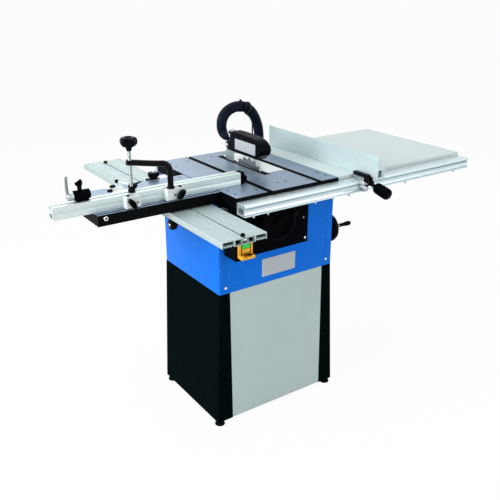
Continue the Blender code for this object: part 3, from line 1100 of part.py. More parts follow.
def hose_rod():
    """The upright wire behind the table, with the hook that holds the hose."""
    route = smooth_route(HOSE_ROUTE, 0.008)
    reach = HOSE_RADIUS + ROD_RADIUS + 0.0008
    path = [Vector((ROD_X, ROD_Y, z)) for z in (RAIL_TOP - 0.036, 0.880, 0.925)]
    place = min(range(len(route)), key=lambda i: (route[i] - Vector((0.3949, 0.530, 1.0054))).length)
    under = [i for i in range(place, len(route)) if route[i].z > 0.958][::-1]
    for i in under:
        along = (route[i + 1] - route[i - 1]).normalized()
        side = along.cross(Vector((0, 0, 1))).normalized()
        path.append(route[i] + along.cross(side).normalized() * reach)
    centre = route[place]
    for i in range(1, 12):
        turn = math.radians(220 * i / 11)
        path.append(centre + (along.cross(side) * math.cos(turn) + side * math.sin(turn)) * reach)
    publish(tube(path, ROD_RADIUS, 2), "hose_rod", "dark_steel")


for make in (
    base, housing, control_panel, main_table, table_insert, extension_table, front_rail, rear_rail,
    carriage_guide, carriage_beam, end_stops, carriage_lock, cross_table, cross_clamp, cross_fence,
    fence_brackets, mitre_plate, flip_stop, hold_down, rip_fence, switch, wheels, trunnion, tilt_frame,
    lift_carriage, motor, drive, saw_blade, riving_knife, guard, hoses, dust_outlet, hose_rod,
):
    make()
wing_knob("pivot_knob", PIVOT_X - 0.008, -58)
wing_knob("post_knob", POST_X + 0.024, 48)
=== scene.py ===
import json
import math

import bmesh
import bpy
import numpy as np
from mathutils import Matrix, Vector

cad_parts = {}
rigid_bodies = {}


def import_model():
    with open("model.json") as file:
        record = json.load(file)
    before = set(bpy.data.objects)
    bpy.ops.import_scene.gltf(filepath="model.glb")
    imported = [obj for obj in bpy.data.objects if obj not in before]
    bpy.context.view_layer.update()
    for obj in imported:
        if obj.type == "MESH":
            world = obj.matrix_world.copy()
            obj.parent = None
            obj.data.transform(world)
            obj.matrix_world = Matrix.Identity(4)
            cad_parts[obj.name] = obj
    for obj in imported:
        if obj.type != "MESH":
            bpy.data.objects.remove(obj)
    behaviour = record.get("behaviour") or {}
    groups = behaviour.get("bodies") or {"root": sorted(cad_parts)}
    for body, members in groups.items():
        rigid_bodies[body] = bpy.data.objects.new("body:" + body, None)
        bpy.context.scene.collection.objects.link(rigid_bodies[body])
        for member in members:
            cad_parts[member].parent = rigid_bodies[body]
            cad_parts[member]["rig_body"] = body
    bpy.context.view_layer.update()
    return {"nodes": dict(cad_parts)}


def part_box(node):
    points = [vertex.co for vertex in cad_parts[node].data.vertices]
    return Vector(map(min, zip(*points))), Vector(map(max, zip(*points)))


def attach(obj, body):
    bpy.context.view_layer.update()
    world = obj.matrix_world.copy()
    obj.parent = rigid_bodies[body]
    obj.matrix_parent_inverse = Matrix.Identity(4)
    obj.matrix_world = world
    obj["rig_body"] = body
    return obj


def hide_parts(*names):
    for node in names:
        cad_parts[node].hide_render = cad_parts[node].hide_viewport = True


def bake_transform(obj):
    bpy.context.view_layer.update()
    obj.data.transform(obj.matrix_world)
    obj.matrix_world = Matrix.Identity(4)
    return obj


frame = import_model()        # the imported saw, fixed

cadNodes = frame["nodes"]
tableLow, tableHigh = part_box("main_table")
# every length below is measured from the floor under the main table's front left corner
corner = np.array([tableLow.x, tableLow.y, 0.0])
print("frame loaded, table corner", corner.round(4))


# camera
cameraPlace = {
    "place": (-1.067, -1.629, 1.480),
    "down": 22.316,      # degrees below level
    "turn": -34.442,     # degrees about the upright
    "lens": 48.275,
}
cameraData = bpy.data.cameras.new("studioCamera")
cameraData.sensor_width = 36
cameraData.lens = cameraPlace["lens"]
cameraData.clip_start, cameraData.clip_end = 0.05, 60
camera = bpy.data.objects.new("studioCamera", cameraData)
camera.location = np.array(cameraPlace["place"]) + corner
camera.rotation_euler = (math.radians(90 - cameraPlace["down"]), 0, math.radians(cameraPlace["turn"]))
bpy.context.scene.collection.objects.link(camera)
bpy.context.scene.camera = camera


# finishes
# nodes of one finish: a shader with helpers that hang patterns on it, read in the piece's own place
class Finish:

    def __init__(self, name, colour, rough, metal=0.0, coat=0.0, coatRough=0.1, specular=0.5):
        self.made = bpy.data.materials.new(name)
        self.made.use_nodes = True
        self.tree = self.made.node_tree
        self.shader = self.tree.nodes["Principled BSDF"]
        self.set("Base Color", (*colour, 1))
        self.set("Roughness", rough)
        self.set("Metallic", metal)
        self.set("Coat Weight", coat)
        self.set("Coat Roughness", coatRough)
        self.set("Specular IOR Level", specular)
        self.made.diffuse_color = (*colour, 1)

    def set(self, socket, value):
        self.shader.inputs[socket].default_value = value

    def add(self, kind, **fields):
        node = self.tree.nodes.new(kind)
        for key, value in fields.items():
            setattr(node, key, value)
        return node

    def join(self, start, end):
        self.tree.links.new(start, end)
        return start

    # the piece's own coordinates, shifted and stretched
    def spot(self, stretch=(1, 1, 1), shift=(0, 0, 0)):
        where = self.add("ShaderNodeTexCoord")
        moved = self.add("ShaderNodeMapping")
        moved.inputs["Location"].default_value = shift
        moved.inputs["Scale"].default_value = stretch
        self.join(where.outputs["Object"], moved.inputs["Vector"])
        return moved.outputs["Vector"]

    def noise(self, size, stretch=(1, 1, 1), detail=3.0, rough=0.55):
        made = self.add("ShaderNodeTexNoise")
        made.inputs["Scale"].default_value = 1 / size
        made.inputs["Detail"].default_value = detail
        made.inputs["Roughness"].default_value = rough
        self.join(self.spot(stretch), made.inputs["Vector"])
        return made.outputs["Fac"]

    def sweep(self, value, fromLow, fromHigh, toLow, toHigh):
        made = self.add("ShaderNodeMapRange")
        made.inputs["From Min"].default_value = fromLow
        made.inputs["From Max"].default_value = fromHigh
        made.inputs["To Min"].default_value = toLow
        made.inputs["To Max"].default_value = toHigh
        self.join(value, made.inputs["Value"])
        return made.outputs["Result"]

    def sums(self, operation, first, second=None):
        made = self.add("ShaderNodeMath", operation=operation)
        for socket, value in zip(made.inputs, (first, second)):
            if value is None:
                continue
            if isinstance(value, (int, float)):
                socket.default_value = value
            else:
                self.join(value, socket)
        return made.outputs["Value"]

    # a colour that goes from low to high with the value
    def tint(self, value, low, high):
        made = self.add("ShaderNodeMix", data_type="RGBA")
        for socket, colour in (("A", low), ("B", high)):
            slot = [s for s in made.inputs if s.name == socket and s.type == "RGBA"][0]
            if isinstance(colour, tuple):
                slot.default_value = (*colour, 1)
            else:
                self.join(colour, slot)
        factor = [s for s in made.inputs if s.name == "Factor" and s.type == "VALUE"][0]
        self.join(value, factor)
        return [s for s in made.outputs if s.type == "RGBA"][0]

    def bumped(self, height, depth, strength):
        made = self.add("ShaderNodeBump")
        made.inputs["Distance"].default_value = depth
        made.inputs["Strength"].default_value = strength
        self.join(height, made.inputs["Height"])
        return made.outputs["Normal"]

    # 1 along convex edges, broken up by noise, 0 elsewhere: where a painted highlight lightens the edges
    def edgeHighlight(self):
        shape = self.add("ShaderNodeNewGeometry")
        edge = self.sweep(shape.outputs["Pointiness"], 0.53, 0.62, 0.0, 1.0)
        broken = self.sweep(self.noise(0.006, detail=4.0), 0.45, 0.62, 0.0, 1.0)
        return self.sums("MULTIPLY", edge, broken)

    # joins the worked patterns to the shader and gives the finished material
    def use(self, colour, rough, normal, metal=None):
        for output, socket in ((colour, "Base Color"), (rough, "Roughness"), (normal, "Normal"), (metal, "Metallic")):
            if output is not None:
                self.join(output, self.shader.inputs[socket])
        return self.made


def shade(colour, factor):
    return tuple(min(1.0, c * factor) for c in colour)


# sprayed paint: faint cloudiness, orange peel, and a painted highlight along its edges, mixed towards the edge colour
# by the amount
def powderCoat(name, colour, edgeHighlightColour, rough=0.42, coat=0.0, peel=0.00012, amount=0.5, specular=0.35):
    f = Finish(name, colour, rough, coat=coat, coatRough=0.25, specular=specular)
    cloud = f.noise(0.12, detail=4.0)
    base = f.tint(f.sweep(cloud, 0.3, 0.7, 0, 1), shade(colour, 0.975), shade(colour, 1.02))
    edgeHighlighted = f.sums("MULTIPLY", f.edgeHighlight(), amount)
    worked = f.tint(edgeHighlighted, base, edgeHighlightColour)
    fine = f.noise(0.0016, detail=2.0)
    return f.use(worked, f.sweep(f.noise(0.03), 0.3, 0.7, rough - 0.05, rough + 0.06), f.bumped(fine, peel, 0.6))


# moulded plastic: a fine leathery grain and slight handling shine
def moulded(name, colour, rough, grain=0.0007, depth=0.00006, specular=0.2):
    f = Finish(name, colour, rough, coatRough=0.12, specular=specular)
    cells = f.add("ShaderNodeTexVoronoi")
    cells.inputs["Scale"].default_value = 1 / grain
    f.join(f.spot(), cells.inputs["Vector"])
    cloud = f.noise(0.02, detail=4.0)
    base = f.tint(f.sweep(cloud, 0.3, 0.7, 0, 1), shade(colour, 0.8), shade(colour, 1.3))
    return f.use(base, f.sweep(cloud, 0.25, 0.75, rough - 0.07, rough + 0.09),
                 f.bumped(cells.outputs["Distance"], depth, 0.5))


# drawn or brushed metal: long fine lines along one axis, and soft dull patches
def brushed(name, colour, along, rough, metal, line=0.00045):
    f = Finish(name, colour, rough, metal=metal)
    stretch = [1.0, 1.0, 1.0]
    stretch["XYZ".index(along)] = 0.012
    lines = f.noise(line, tuple(stretch), detail=3.0)
    patch = f.noise(0.06, detail=3.0)
    base = f.tint(f.sweep(lines, 0.3, 0.7, 0, 1), shade(colour, 0.93), shade(colour, 1.05))
    # painted highlight: convex edges lightened by 15%
    edgeHighlighted = f.tint(f.edgeHighlight(), base, shade(colour, 1.15))
    dulled = f.sums("ADD", f.sweep(lines, 0.3, 0.7, -0.04, 0.05),
                    f.sweep(patch, 0.3, 0.7, rough - 0.04, rough + 0.05))
    return f.use(edgeHighlighted, dulled, f.bumped(lines, 0.00005, 0.45))


# where a planed table is dark: painted shade over the narrow gap left of the blade, and a band over each guide slot
# that is partly the slot's dark chamfer and partly painted shade
planedTop = {
    "slots": (0.128, 0.328),
    # half width of the dark band over each slot: its dark chamfer and painted shade
    "slotHalf": 0.0105,
    # painted shade over the gap left of the blade: its middle and its half size
    "slitShadeMiddle": (0.2340, 0.316),
    "slitShadeHalf": (0.0130, 0.154),
    "skin": 0.0013,           # the planed face is what lies within this of the top
    # black of the table's painted sides, also used for its painted shade
    "side": (0.0020, 0.0026, 0.0032),
}


# planed metal: fine grinding lines on its top face, painted black on its edges and inside its slots, with painted shade
# over the gap left of the blade and, together with their dark chamfer, over the bands round its slots
def machinedIron(name, top):
    f = Finish(name, top, 0.36, metal=0.6, specular=0.03)
    where = f.add("ShaderNodeSeparateXYZ")
    f.join(f.spot(), where.inputs["Vector"])
    above = f.sums("GREATER_THAN", where.outputs["Z"], tableHigh.z - planedTop["skin"])
    face = f.add("ShaderNodeNewGeometry")
    split = f.add("ShaderNodeSeparateXYZ")
    f.join(face.outputs["True Normal"], split.inputs["Vector"])
    upward = f.sums("GREATER_THAN", split.outputs["Z"], 0.35)
    planed = f.sums("MULTIPLY", above, upward)

    # how far a point lies from a middle line of the table, along X or Y
    def offset(axis, middle):
        return f.sums("ABSOLUTE", f.sums("SUBTRACT", where.outputs[axis], middle + float(corner["XY".index(axis)])))

    # dark bands over the slots, wider than the slots: partly dark chamfer, partly painted shade
    for slot in planedTop["slots"]:
        planed = f.sums("MULTIPLY", planed, f.sums("GREATER_THAN", offset("X", slot), planedTop["slotHalf"]))
    # painted shade over the gap left of the blade
    insideX, insideY = (f.sums("LESS_THAN", offset(axis, middle), half)
                        for axis, middle, half in zip("XY", planedTop["slitShadeMiddle"], planedTop["slitShadeHalf"]))
    slitShade = f.sums("MULTIPLY", insideX, insideY)
    # the planed mask now leaves out the bands of painted shade
    planed = f.sums("MULTIPLY", planed, f.sums("SUBTRACT", 1.0, slitShade))
    lines = f.noise(0.0005, (1, 0.02, 1), detail=3.0)
    cloud = f.noise(0.09, detail=5.0)
    stain = f.sweep(f.noise(0.025, detail=6.0), 0.52, 0.72, 0, 0.35)
    light = f.tint(f.sweep(cloud, 0.3, 0.7, 0, 1), shade(top, 0.90), shade(top, 1.07))
    lined = f.tint(f.sweep(lines, 0.35, 0.65, 0, 0.35), light, shade(top, 0.82))
    stained = f.tint(stain, lined, shade(top, 0.80))
    colour = f.tint(planed, planedTop["side"], stained)
    rough = f.sums("ADD", f.sweep(planed, 0, 1, 0.44, 0.31), f.sweep(cloud, 0.3, 0.7, -0.03, 0.05))
    grit = f.sums("ADD", f.sums("MULTIPLY", lines, planed),
                  f.sums("MULTIPLY", f.noise(0.0022, detail=3.0), f.sweep(planed, 0, 1, 1.6, 0)))
    return f.use(colour, rough, f.bumped(grit, 0.00009, 0.5), f.sweep(planed, 0, 1, 0.0, 0.6))


# bright plated steel with faint wiping marks
def chromed(name, colour, rough):
    f = Finish(name, colour, rough, metal=1.0)
    cloud = f.noise(0.012, detail=5.0)
    base = f.tint(f.sweep(cloud, 0.3, 0.7, 0, 1), shade(colour, 0.90), shade(colour, 1.05))
    return f.use(base, f.sweep(cloud, 0.3, 0.7, rough - 0.05, rough + 0.10), f.bumped(f.noise(0.002), 0.00002, 0.5))


# ground steel disc: fine circular scratches about its centre, which is measured from the table's corner
def radialSteel(name, colour, centre):
    f = Finish(name, colour, 0.28, metal=0.9)
    middle = np.array(centre) + corner
    where = f.add("ShaderNodeSeparateXYZ")
    f.join(f.spot(shift=tuple(-middle)), where.inputs["Vector"])
    squares = [f.sums("POWER", where.outputs[axis], 2.0) for axis in "YZ"]
    ring = f.sums("SQRT", f.sums("ADD", *squares))
    row = f.add("ShaderNodeTexNoise", noise_dimensions="1D")
    row.inputs["Scale"].default_value = 2400
    row.inputs["Detail"].default_value = 3
    f.join(ring, row.inputs["W"])
    cloud = f.noise(0.03, detail=4.0)
    base = f.tint(f.sweep(row.outputs["Fac"], 0.3, 0.7, 0, 1), shade(colour, 0.85), shade(colour, 1.12))
    return f.use(base, f.sweep(cloud, 0.3, 0.7, 0.2, 0.36), f.bumped(row.outputs["Fac"], 0.00004, 0.5))


# the second colour given to each paint is the colour of its painted edge highlight
bluePaint = powderCoat("bluePaint", (0.000, 0.148, 0.690), edgeHighlightColour=(0.06, 0.26, 0.85), specular=0.08)
blackSheet = powderCoat("blackSheetPaint", (0.0006, 0.0030, 0.0030), edgeHighlightColour=(0.03, 0.04, 0.04), rough=0.46,
                        peel=0.00003, amount=0.08, specular=0.002)
greyPaint = powderCoat("greyPanelPaint", (0.450, 0.550, 0.540), edgeHighlightColour=(0.50, 0.58, 0.57), rough=0.50, specular=0.2)
palePaint = powderCoat("paleTablePaint", (0.630, 0.730, 0.735), edgeHighlightColour=(0.74, 0.79, 0.79), rough=0.45, specular=0.25)
armPaint = powderCoat("glossyBlackPaint", (0.0008, 0.0012, 0.0020), edgeHighlightColour=(0.03, 0.03, 0.035), rough=0.18,
                      peel=0.00006, amount=0.3, specular=0.09)
whiteCasting = powderCoat("whiteCastingPaint", (0.66, 0.72, 0.72), edgeHighlightColour=(0.76, 0.80, 0.80), rough=0.36, coat=0.15,
                          peel=0.0003)
tableIron = machinedIron("planedTableIron", (0.245, 0.330, 0.440))
insertPlaned = machinedIron("planedInsertAluminium", (0.830, 0.900, 0.900))
railAluminium = brushed("railAluminiumAcross", (0.640, 0.750, 0.780), "X", rough=0.34, metal=0.75)
beamAluminium = brushed("beamAluminiumAlong", (0.425, 0.520, 0.525), "Y", rough=0.46, metal=0.45, line=0.0009)
fenceAluminium = brushed("ripFenceAluminium", (0.560, 0.690, 0.700), "Y", rough=0.50, metal=0.35)
crossAluminium = brushed("crossFenceAluminium", (0.640, 0.735, 0.730), "X", rough=0.40, metal=0.60)
plainSteel = brushed("zincSteel", (0.450, 0.490, 0.500), "Z", rough=0.30, metal=0.95, line=0.0006)
knifeSteel = brushed("knifeSteel", (0.480, 0.560, 0.540), "Z", rough=0.34, metal=0.8)
spindleSteel = brushed("darkSpindleSteel", (0.300, 0.345, 0.345), "Z", rough=0.30, metal=0.9, line=0.0006)
paddleSteel = brushed("paddleSteel", (0.140, 0.185, 0.170), "Z", rough=0.36, metal=0.8, line=0.0006)
chrome = chromed("chromedSteel", (0.80, 0.81, 0.82), rough=0.14)
bladeSteel = radialSteel("groundBladeSteel", (0.34, 0.385, 0.385), centre=(0.240, 0.286, 0.7565))
darkIron = powderCoat("darkIronPaint", (0.012, 0.014, 0.016), edgeHighlightColour=(0.14, 0.14, 0.15), rough=0.5, peel=0.0003,
                      specular=0.2)
motorPaint = powderCoat("motorPaint", (0.020, 0.024, 0.028), edgeHighlightColour=(0.12, 0.12, 0.13), rough=0.45, specular=0.25)
blackPlastic = moulded("blackPlastic", (0.0008, 0.0014, 0.0022), rough=0.34, specular=0.012)
knobPlastic = moulded("knobPlastic", (0.0008, 0.0014, 0.0026), rough=0.22, grain=0.0012, depth=0.00003, specular=0.04)
guardPlastic = moulded("guardPlastic", (0.0008, 0.0014, 0.0036), rough=0.30, specular=0.035)
rubber = moulded("hoseRubber", (0.0010, 0.0050, 0.0140), rough=0.34, grain=0.0016, depth=0.00008, specular=0.06)
footRubber = moulded("footRubber", (0.0030, 0.0034, 0.0036), rough=0.65, grain=0.0010, specular=0.04)
beltRubber = moulded("beltRubber", (0.0080, 0.0080, 0.0085), rough=0.7, grain=0.0010)
yellowPlastic = moulded("yellowSwitchPlastic", (0.900, 0.400, 0.020), rough=0.40, specular=0.25)
greenPlastic = moulded("greenButtonPlastic", (0.030, 0.640, 0.090), rough=0.34, specular=0.25)
plateMetal = powderCoat("blankPlatePaint", (0.430, 0.470, 0.500), edgeHighlightColour=(0.35, 0.37, 0.38), peel=0.00004, amount=0.0,
                        specular=0.3)
print("finishes made:", len(bpy.data.materials))


# shapes
toLeft, toRight, toFront, toRear, toTop = (-1, 0, 0), (1, 0, 0), (0, -1, 0), (0, 1, 0), (0, 0, 1)
sideLetter = {-1: "L", 1: "R"}       # in the names of pieces that come in pairs


# a node's lowest and highest corners, measured from the table's corner
def nodeBox(node):
    return [np.array(end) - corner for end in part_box(node)]


def unit(vectors):
    return vectors / np.maximum(np.linalg.norm(vectors, axis=-1, keepdims=True), 1e-12)


# faces of a net of rows by columns, closed round its rows: each joins a point to the next in its row and its column
def netFaces(rows, columns):
    i, j = np.meshgrid(np.arange(rows - 1), np.arange(columns), indexing="ij")
    nextJ = (j + 1) % columns
    corners = np.stack([i * columns + j, (i + 1) * columns + j, (i + 1) * columns + nextJ, i * columns + nextJ], -1)
    return corners.reshape(-1, 4).tolist()


# the same net with one flat face over its first row and one over its last
def cappedFaces(rows, columns):
    return netFaces(rows, columns) + [list(range(columns)), list(range((rows - 1) * columns, rows * columns))]


# points and faces as one welded mesh with outward faces, that rides on a body of the saw
def makePiece(name, points, faces, finish, body, sharp=35.0):
    mesh = bpy.data.meshes.new(name)
    mesh.from_pydata((np.asarray(points) + corner).tolist(), [], faces)
    solid = bmesh.new()
    solid.from_mesh(mesh)
    bmesh.ops.remove_doubles(solid, verts=solid.verts, dist=2e-6)
    bmesh.ops.recalc_face_normals(solid, faces=solid.faces)
    solid.to_mesh(mesh)
    solid.free()
    mesh.shade_smooth()
    mesh.set_sharp_from_angle(angle=math.radians(sharp))
    mesh.materials.append(finish)
    piece = bpy.data.objects.new(name, mesh)
    bpy.context.scene.collection.objects.link(piece)
    if body:
        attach(piece, body)
    return piece


# a line of corners, each made a quadratic curve from a radius before the corner to a radius after it
def fillet(points, radius, closed=True, steps=4):
    p = np.asarray(points, float)
    before, after = np.roll(p, 1, 0), np.roll(p, -1, 0)
    r = np.broadcast_to(np.asarray(radius, float), (len(p),))[:, None]
    back, ahead = before - p, after - p
    backLength = np.linalg.norm(back, axis=1, keepdims=True)
    aheadLength = np.linalg.norm(ahead, axis=1, keepdims=True)
    a = p + unit(back) * np.minimum(r, 0.48 * backLength)
    b = p + unit(ahead) * np.minimum(r, 0.48 * aheadLength)
    t = np.linspace(0, 1, steps + 1)[None, :, None]
    curve = (1 - t) ** 2 * a[:, None] + 2 * t * (1 - t) * p[:, None] + t ** 2 * b[:, None]
    if not closed:
        return np.vstack([p[:1], curve[1:-1].reshape(-1, p.shape[1]), p[-1:]])
    return curve.reshape(-1, p.shape[1])


# two directions at right angles to the given one
def across(direction):
    d = unit(np.asarray(direction, float))
    side = unit(np.cross(d, (0, 0, 1) if abs(d[2]) < 0.9 else (0, 1, 0)))
    return side, np.cross(d, side)


# a turned piece: (radius, height) corners, eased, carried round an axis; ripple(angle, height) scales the radius
def turnedPiece(name, profile, foot, direction, finish, body, steps, edge, ripple=None):
    line = fillet(profile, edge, closed=False)
    angle = np.linspace(0, 2 * np.pi, steps, endpoint=False)[None, :]
    radius, height = line[:, :1], line[:, 1:]
    wide = radius * (1 + (0 if ripple is None else ripple(angle, height)))
    d = unit(np.asarray(direction, float))
    u, v = across(d)
    points = (np.asarray(foot, float) + height[..., None] * d
              + (wide * np.cos(angle))[..., None] * u + (wide * np.sin(angle))[..., None] * v)
    return makePiece(name, points.reshape(-1, 3), netFaces(len(line), steps), finish, body)


# a closed outline pushed along an axis from low to high, its two rims drawn in along a quarter round of the edge
def prismPiece(name, loop, low, high, axis, finish, body, edge, steps=3):
    p = np.asarray(loop, float)
    tangent = unit(np.roll(p, -1, 0) - np.roll(p, 1, 0))
    area = np.sum(p[:, 0] * np.roll(p[:, 1], -1) - np.roll(p[:, 0], -1) * p[:, 1])
    outward = np.stack([tangent[:, 1], -tangent[:, 0]], -1) * np.sign(area)
    quarter = np.linspace(0, np.pi / 2, steps + 1)
    inset = edge * (1 - np.sin(quarter))
    depth = np.concatenate([low + edge * (1 - np.cos(quarter)), high - edge * (1 - np.cos(quarter[::-1]))])
    draw = np.concatenate([inset, inset[::-1]])
    flat = p[None] - draw[:, None, None] * outward[None]
    third = np.broadcast_to(depth[:, None, None], (*flat.shape[:2], 1))
    order = {"X": (2, 0, 1), "Y": (0, 2, 1), "Z": (0, 1, 2)}[axis]
    points = np.concatenate([flat, third], -1)[..., order]
    return makePiece(name, points.reshape(-1, 3), cappedFaces(len(points), len(p)), finish, body)


# the outline of a rectangle with eased corners
def block(low, high, rounding):
    (a, b), (c, d) = low, high
    return fillet([(a, b), (c, b), (c, d), (a, d)], rounding)


# a bar along X with an outline (y, z), and a rounded hollow at both ends whose radius at an angle is
# (|cos/a|^4 + |sin/b|^4)^(-1/4), with a and b its half width and half height
def hollowBar(name, outer, middle, hollow, low, high, depth, finish, body, edge):
    p = np.asarray(outer, float)
    reach = p - np.array(middle)
    angle = np.arctan2(reach[:, 1], reach[:, 0])
    size = ((np.abs(np.cos(angle)) / hollow[0]) ** 4 + (np.abs(np.sin(angle)) / hollow[1]) ** 4) ** -0.25
    inner = np.array(middle) + size[:, None] * np.stack([np.cos(angle), np.sin(angle)], -1)
    drawn = np.array(middle) + reach * (1 - edge / np.maximum(np.linalg.norm(reach, axis=1, keepdims=True), 1e-6))
    stations = ((inner, low + depth), (inner, low), (drawn, low), (p, low + edge),
                (p, high - edge), (drawn, high), (inner, high), (inner, high - depth))
    rows = [np.concatenate([np.full((len(p), 1), x), loop], 1) for loop, x in stations]
    return makePiece(name, np.concatenate(rows), cappedFaces(len(rows), len(p)), finish, body)


# even points along a smooth curve through the route, a cubic between each two points with its slope at a point from
# that point's neighbours; it is straight over the given length at both ends
def evenLine(route, spacing, straight=0.004):
    p = np.asarray(route, float)
    head, tail = unit(p[1] - p[0]), unit(p[-1] - p[-2])
    q = np.vstack([2 * p[0] - p[1], p, 2 * p[-1] - p[-2]])
    t = np.linspace(0, 1, 40, endpoint=False)[None, :, None]
    a, b, c, d = (q[i:len(q) - 3 + i][:, None] for i in range(4))
    curve = 0.5 * (2 * b + (c - a) * t + (2 * a - 5 * b + 4 * c - d) * t ** 2 + (3 * b - a - 3 * c + d) * t ** 3)
    dense = np.vstack([curve.reshape(-1, 3), p[-1:]])
    run = np.concatenate([[0], np.cumsum(np.linalg.norm(np.diff(dense, axis=0), axis=1))])
    at = np.linspace(0, run[-1], max(2, int(round(run[-1] / spacing)) + 1))
    even = np.stack([np.interp(at, run, dense[:, k]) for k in range(3)], -1)
    first, last = at < straight, at > run[-1] - straight
    even[first] = p[0] + head * at[first][:, None]
    even[last] = p[-1] - tail * (run[-1] - at[last])[:, None]
    return even, at


# a section (side, up) carried along a path without twist: each point is the path plus size times (side, up)
def carried(path, section, size):
    tangent = unit(np.gradient(path, axis=0))
    side = np.empty_like(tangent)
    side[0], _ = across(tangent[0])
    for i in range(1, len(path)):      # each station's side direction follows from the one before
        side[i] = unit(side[i - 1] - tangent[i] * np.dot(side[i - 1], tangent[i]))
    up = np.cross(tangent, side)
    size = np.broadcast_to(np.asarray(size, float).reshape(-1, 1, 1), (len(path), 1, 1))
    return path[:, None] + size * (section[None, :, :1] * side[:, None] + section[None, :, 1:] * up[:, None])


def roundSection(count):
    angle = np.linspace(0, 2 * np.pi, count, endpoint=False)
    return np.stack([np.cos(angle), np.sin(angle)], -1)


# a round section carried along a path; dome is the share of the radius by which its ends are rounded
def tubePiece(name, path, radius, finish, body, around, dome=0.0, sharp=35.0):
    path = np.asarray(path, float)
    size = np.broadcast_to(np.asarray(radius, float), (len(path),)).copy()
    if dome:
        reach = size[0] * dome
        first, last = unit(path[1] - path[0]), unit(path[-1] - path[-2])
        quarter = np.linspace(0, np.pi / 2, 6)
        drawn = (reach * (1 - np.cos(quarter)))[:, None]
        grown = 1 - dome + dome * np.sin(quarter)
        fromFirst, fromLast = (np.linalg.norm(path - end, axis=1) for end in (path[0], path[-1]))
        inside = np.minimum(fromFirst, fromLast) > reach * 1.02
        path = np.vstack([path[0] + first * drawn, path[inside], (path[-1] - last * drawn)[::-1]])
        size = np.concatenate([size[0] * grown, size[inside], (size[-1] * grown)[::-1]])
    rings = carried(path, roundSection(around), size)
    return makePiece(name, rings.reshape(-1, 3), cappedFaces(len(path), around), finish, body, sharp)


# a node's own shape with its doubled points merged, its flat faces joined and its edges eased
def easedNode(node, finish, width, segments=2, angle=28.0):
    mesh = cadNodes[node].data.copy()
    solid = bmesh.new()
    solid.from_mesh(mesh)
    bmesh.ops.remove_doubles(solid, verts=solid.verts, dist=2e-6)
    bmesh.ops.dissolve_limit(solid, angle_limit=math.radians(0.6), verts=solid.verts, edges=solid.edges)
    bmesh.ops.recalc_face_normals(solid, faces=solid.faces)
    solid.to_mesh(mesh)
    solid.free()
    mesh.materials.clear()
    mesh.materials.append(finish)
    mesh.shade_smooth()
    mesh.set_sharp_from_angle(angle=math.radians(angle))
    piece = bpy.data.objects.new(node + "_eased", mesh)
    mesh.name = piece.name
    bpy.context.scene.collection.objects.link(piece)
    ease = piece.modifiers.new("ease", "BEVEL")
    ease.width = width
    ease.segments = segments
    ease.limit_method = "ANGLE"
    ease.angle_limit = math.radians(angle)
    ease.harden_normals = True
    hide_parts(node)
    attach(piece, cadNodes[node]["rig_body"])
    return piece


# a node that stays, with a better finish
def paintNode(node, finish):
    slots = cadNodes[node].material_slots
    for i in range(max(1, len(slots))):
        if len(slots) > i:
            slots[i].material = finish
        else:
            cadNodes[node].data.materials.append(finish)


# a domed screw head with a round socket in its middle; height and dent are its height and the socket's share
def screwHead(name, place, direction, radius, body, finish=chrome, height=0.0022, dent=0.45):
    profile = [(0, height * 0.35), (radius * dent, height * 0.35), (radius * dent, height), (radius * 0.72, height),
               (radius, height * 0.45), (radius, 0), (0, 0)]
    return turnedPiece(name, profile, place, direction, finish, body, steps=24, edge=radius * 0.14)


# hose and its cuff
hose = {
    "radius": 0.0200,
    "neck": 0.0175,       # radius at the guard's end
    "neckLong": 0.085,    # length over which it widens
    "ribPitch": 0.0056,
    "ribDepth": 0.0013,
    "around": 30,
}
cuffRoute = [(0.2400, 0.3883, 0.9455), (0.2400, 0.3930, 0.9455), (0.2395, 0.4040, 0.9420), (0.2390, 0.4150, 0.9370),
             (0.2385, 0.4240, 0.9350), (0.2385, 0.4300, 0.9350)]
hoseRoute = [(0.2385, 0.4303, 0.9350), (0.2385, 0.4360, 0.9350), (0.2388, 0.4470, 0.9390), (0.2395, 0.4570, 0.9470),
             (0.2420, 0.4660, 0.9600), (0.2534, 0.4780, 0.9853), (0.2777, 0.4900, 1.0049), (0.3129, 0.5030, 1.0160),
             (0.3538, 0.5170, 1.0161), (0.3949, 0.5300, 1.0054), (0.4290, 0.5420, 0.9825), (0.4542, 0.5540, 0.9545),
             (0.4731, 0.5630, 0.9211), (0.4840, 0.5700, 0.8838), (0.4870, 0.5745, 0.8449), (0.4820, 0.5760, 0.8050),
             (0.4680, 0.5750, 0.7640), (0.4430, 0.5730, 0.7240), (0.4080, 0.5705, 0.6920), (0.3650, 0.5680, 0.6700),
             (0.3250, 0.5660, 0.6600), (0.2903, 0.5660, 0.6600)]


# radius along the hose: the outside radius less a rib's depth times a rounded wave, level at its plain ends
def ribbedHose(name, route, plainEnds, widens=True):
    path, run = evenLine(route, hose["ribPitch"] / 6)
    wave = (0.5 + 0.5 * np.cos(2 * np.pi * run / hose["ribPitch"])) ** 1.6
    level = np.clip(np.minimum(run, run[-1] - run) / plainEnds, 0, 1)
    level = level * level * (3 - 2 * level)
    grown = np.clip(run / hose["neckLong"], 0, 1) if widens else 0 * run
    outside = hose["neck"] + (hose["radius"] - hose["neck"]) * grown * grown * (3 - 2 * grown)
    radius = outside - hose["ribDepth"] * (1 - wave) * level
    piece = tubePiece(name, path, radius, rubber, None, hose["around"], sharp=75)
    return piece, path, run[-1]


cuff, _, cuffLength = ribbedHose("hoseCuff", cuffRoute, 0.006, widens=False)
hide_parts("hose_cuff")
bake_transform(cuff)
dustHose, hosePath, hoseLength = ribbedHose("dustHose", hoseRoute, 0.012)
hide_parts("dust_hose")
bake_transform(dustHose)
print("hose made, length", round(float(hoseLength), 3), "cuff", round(float(cuffLength), 3))


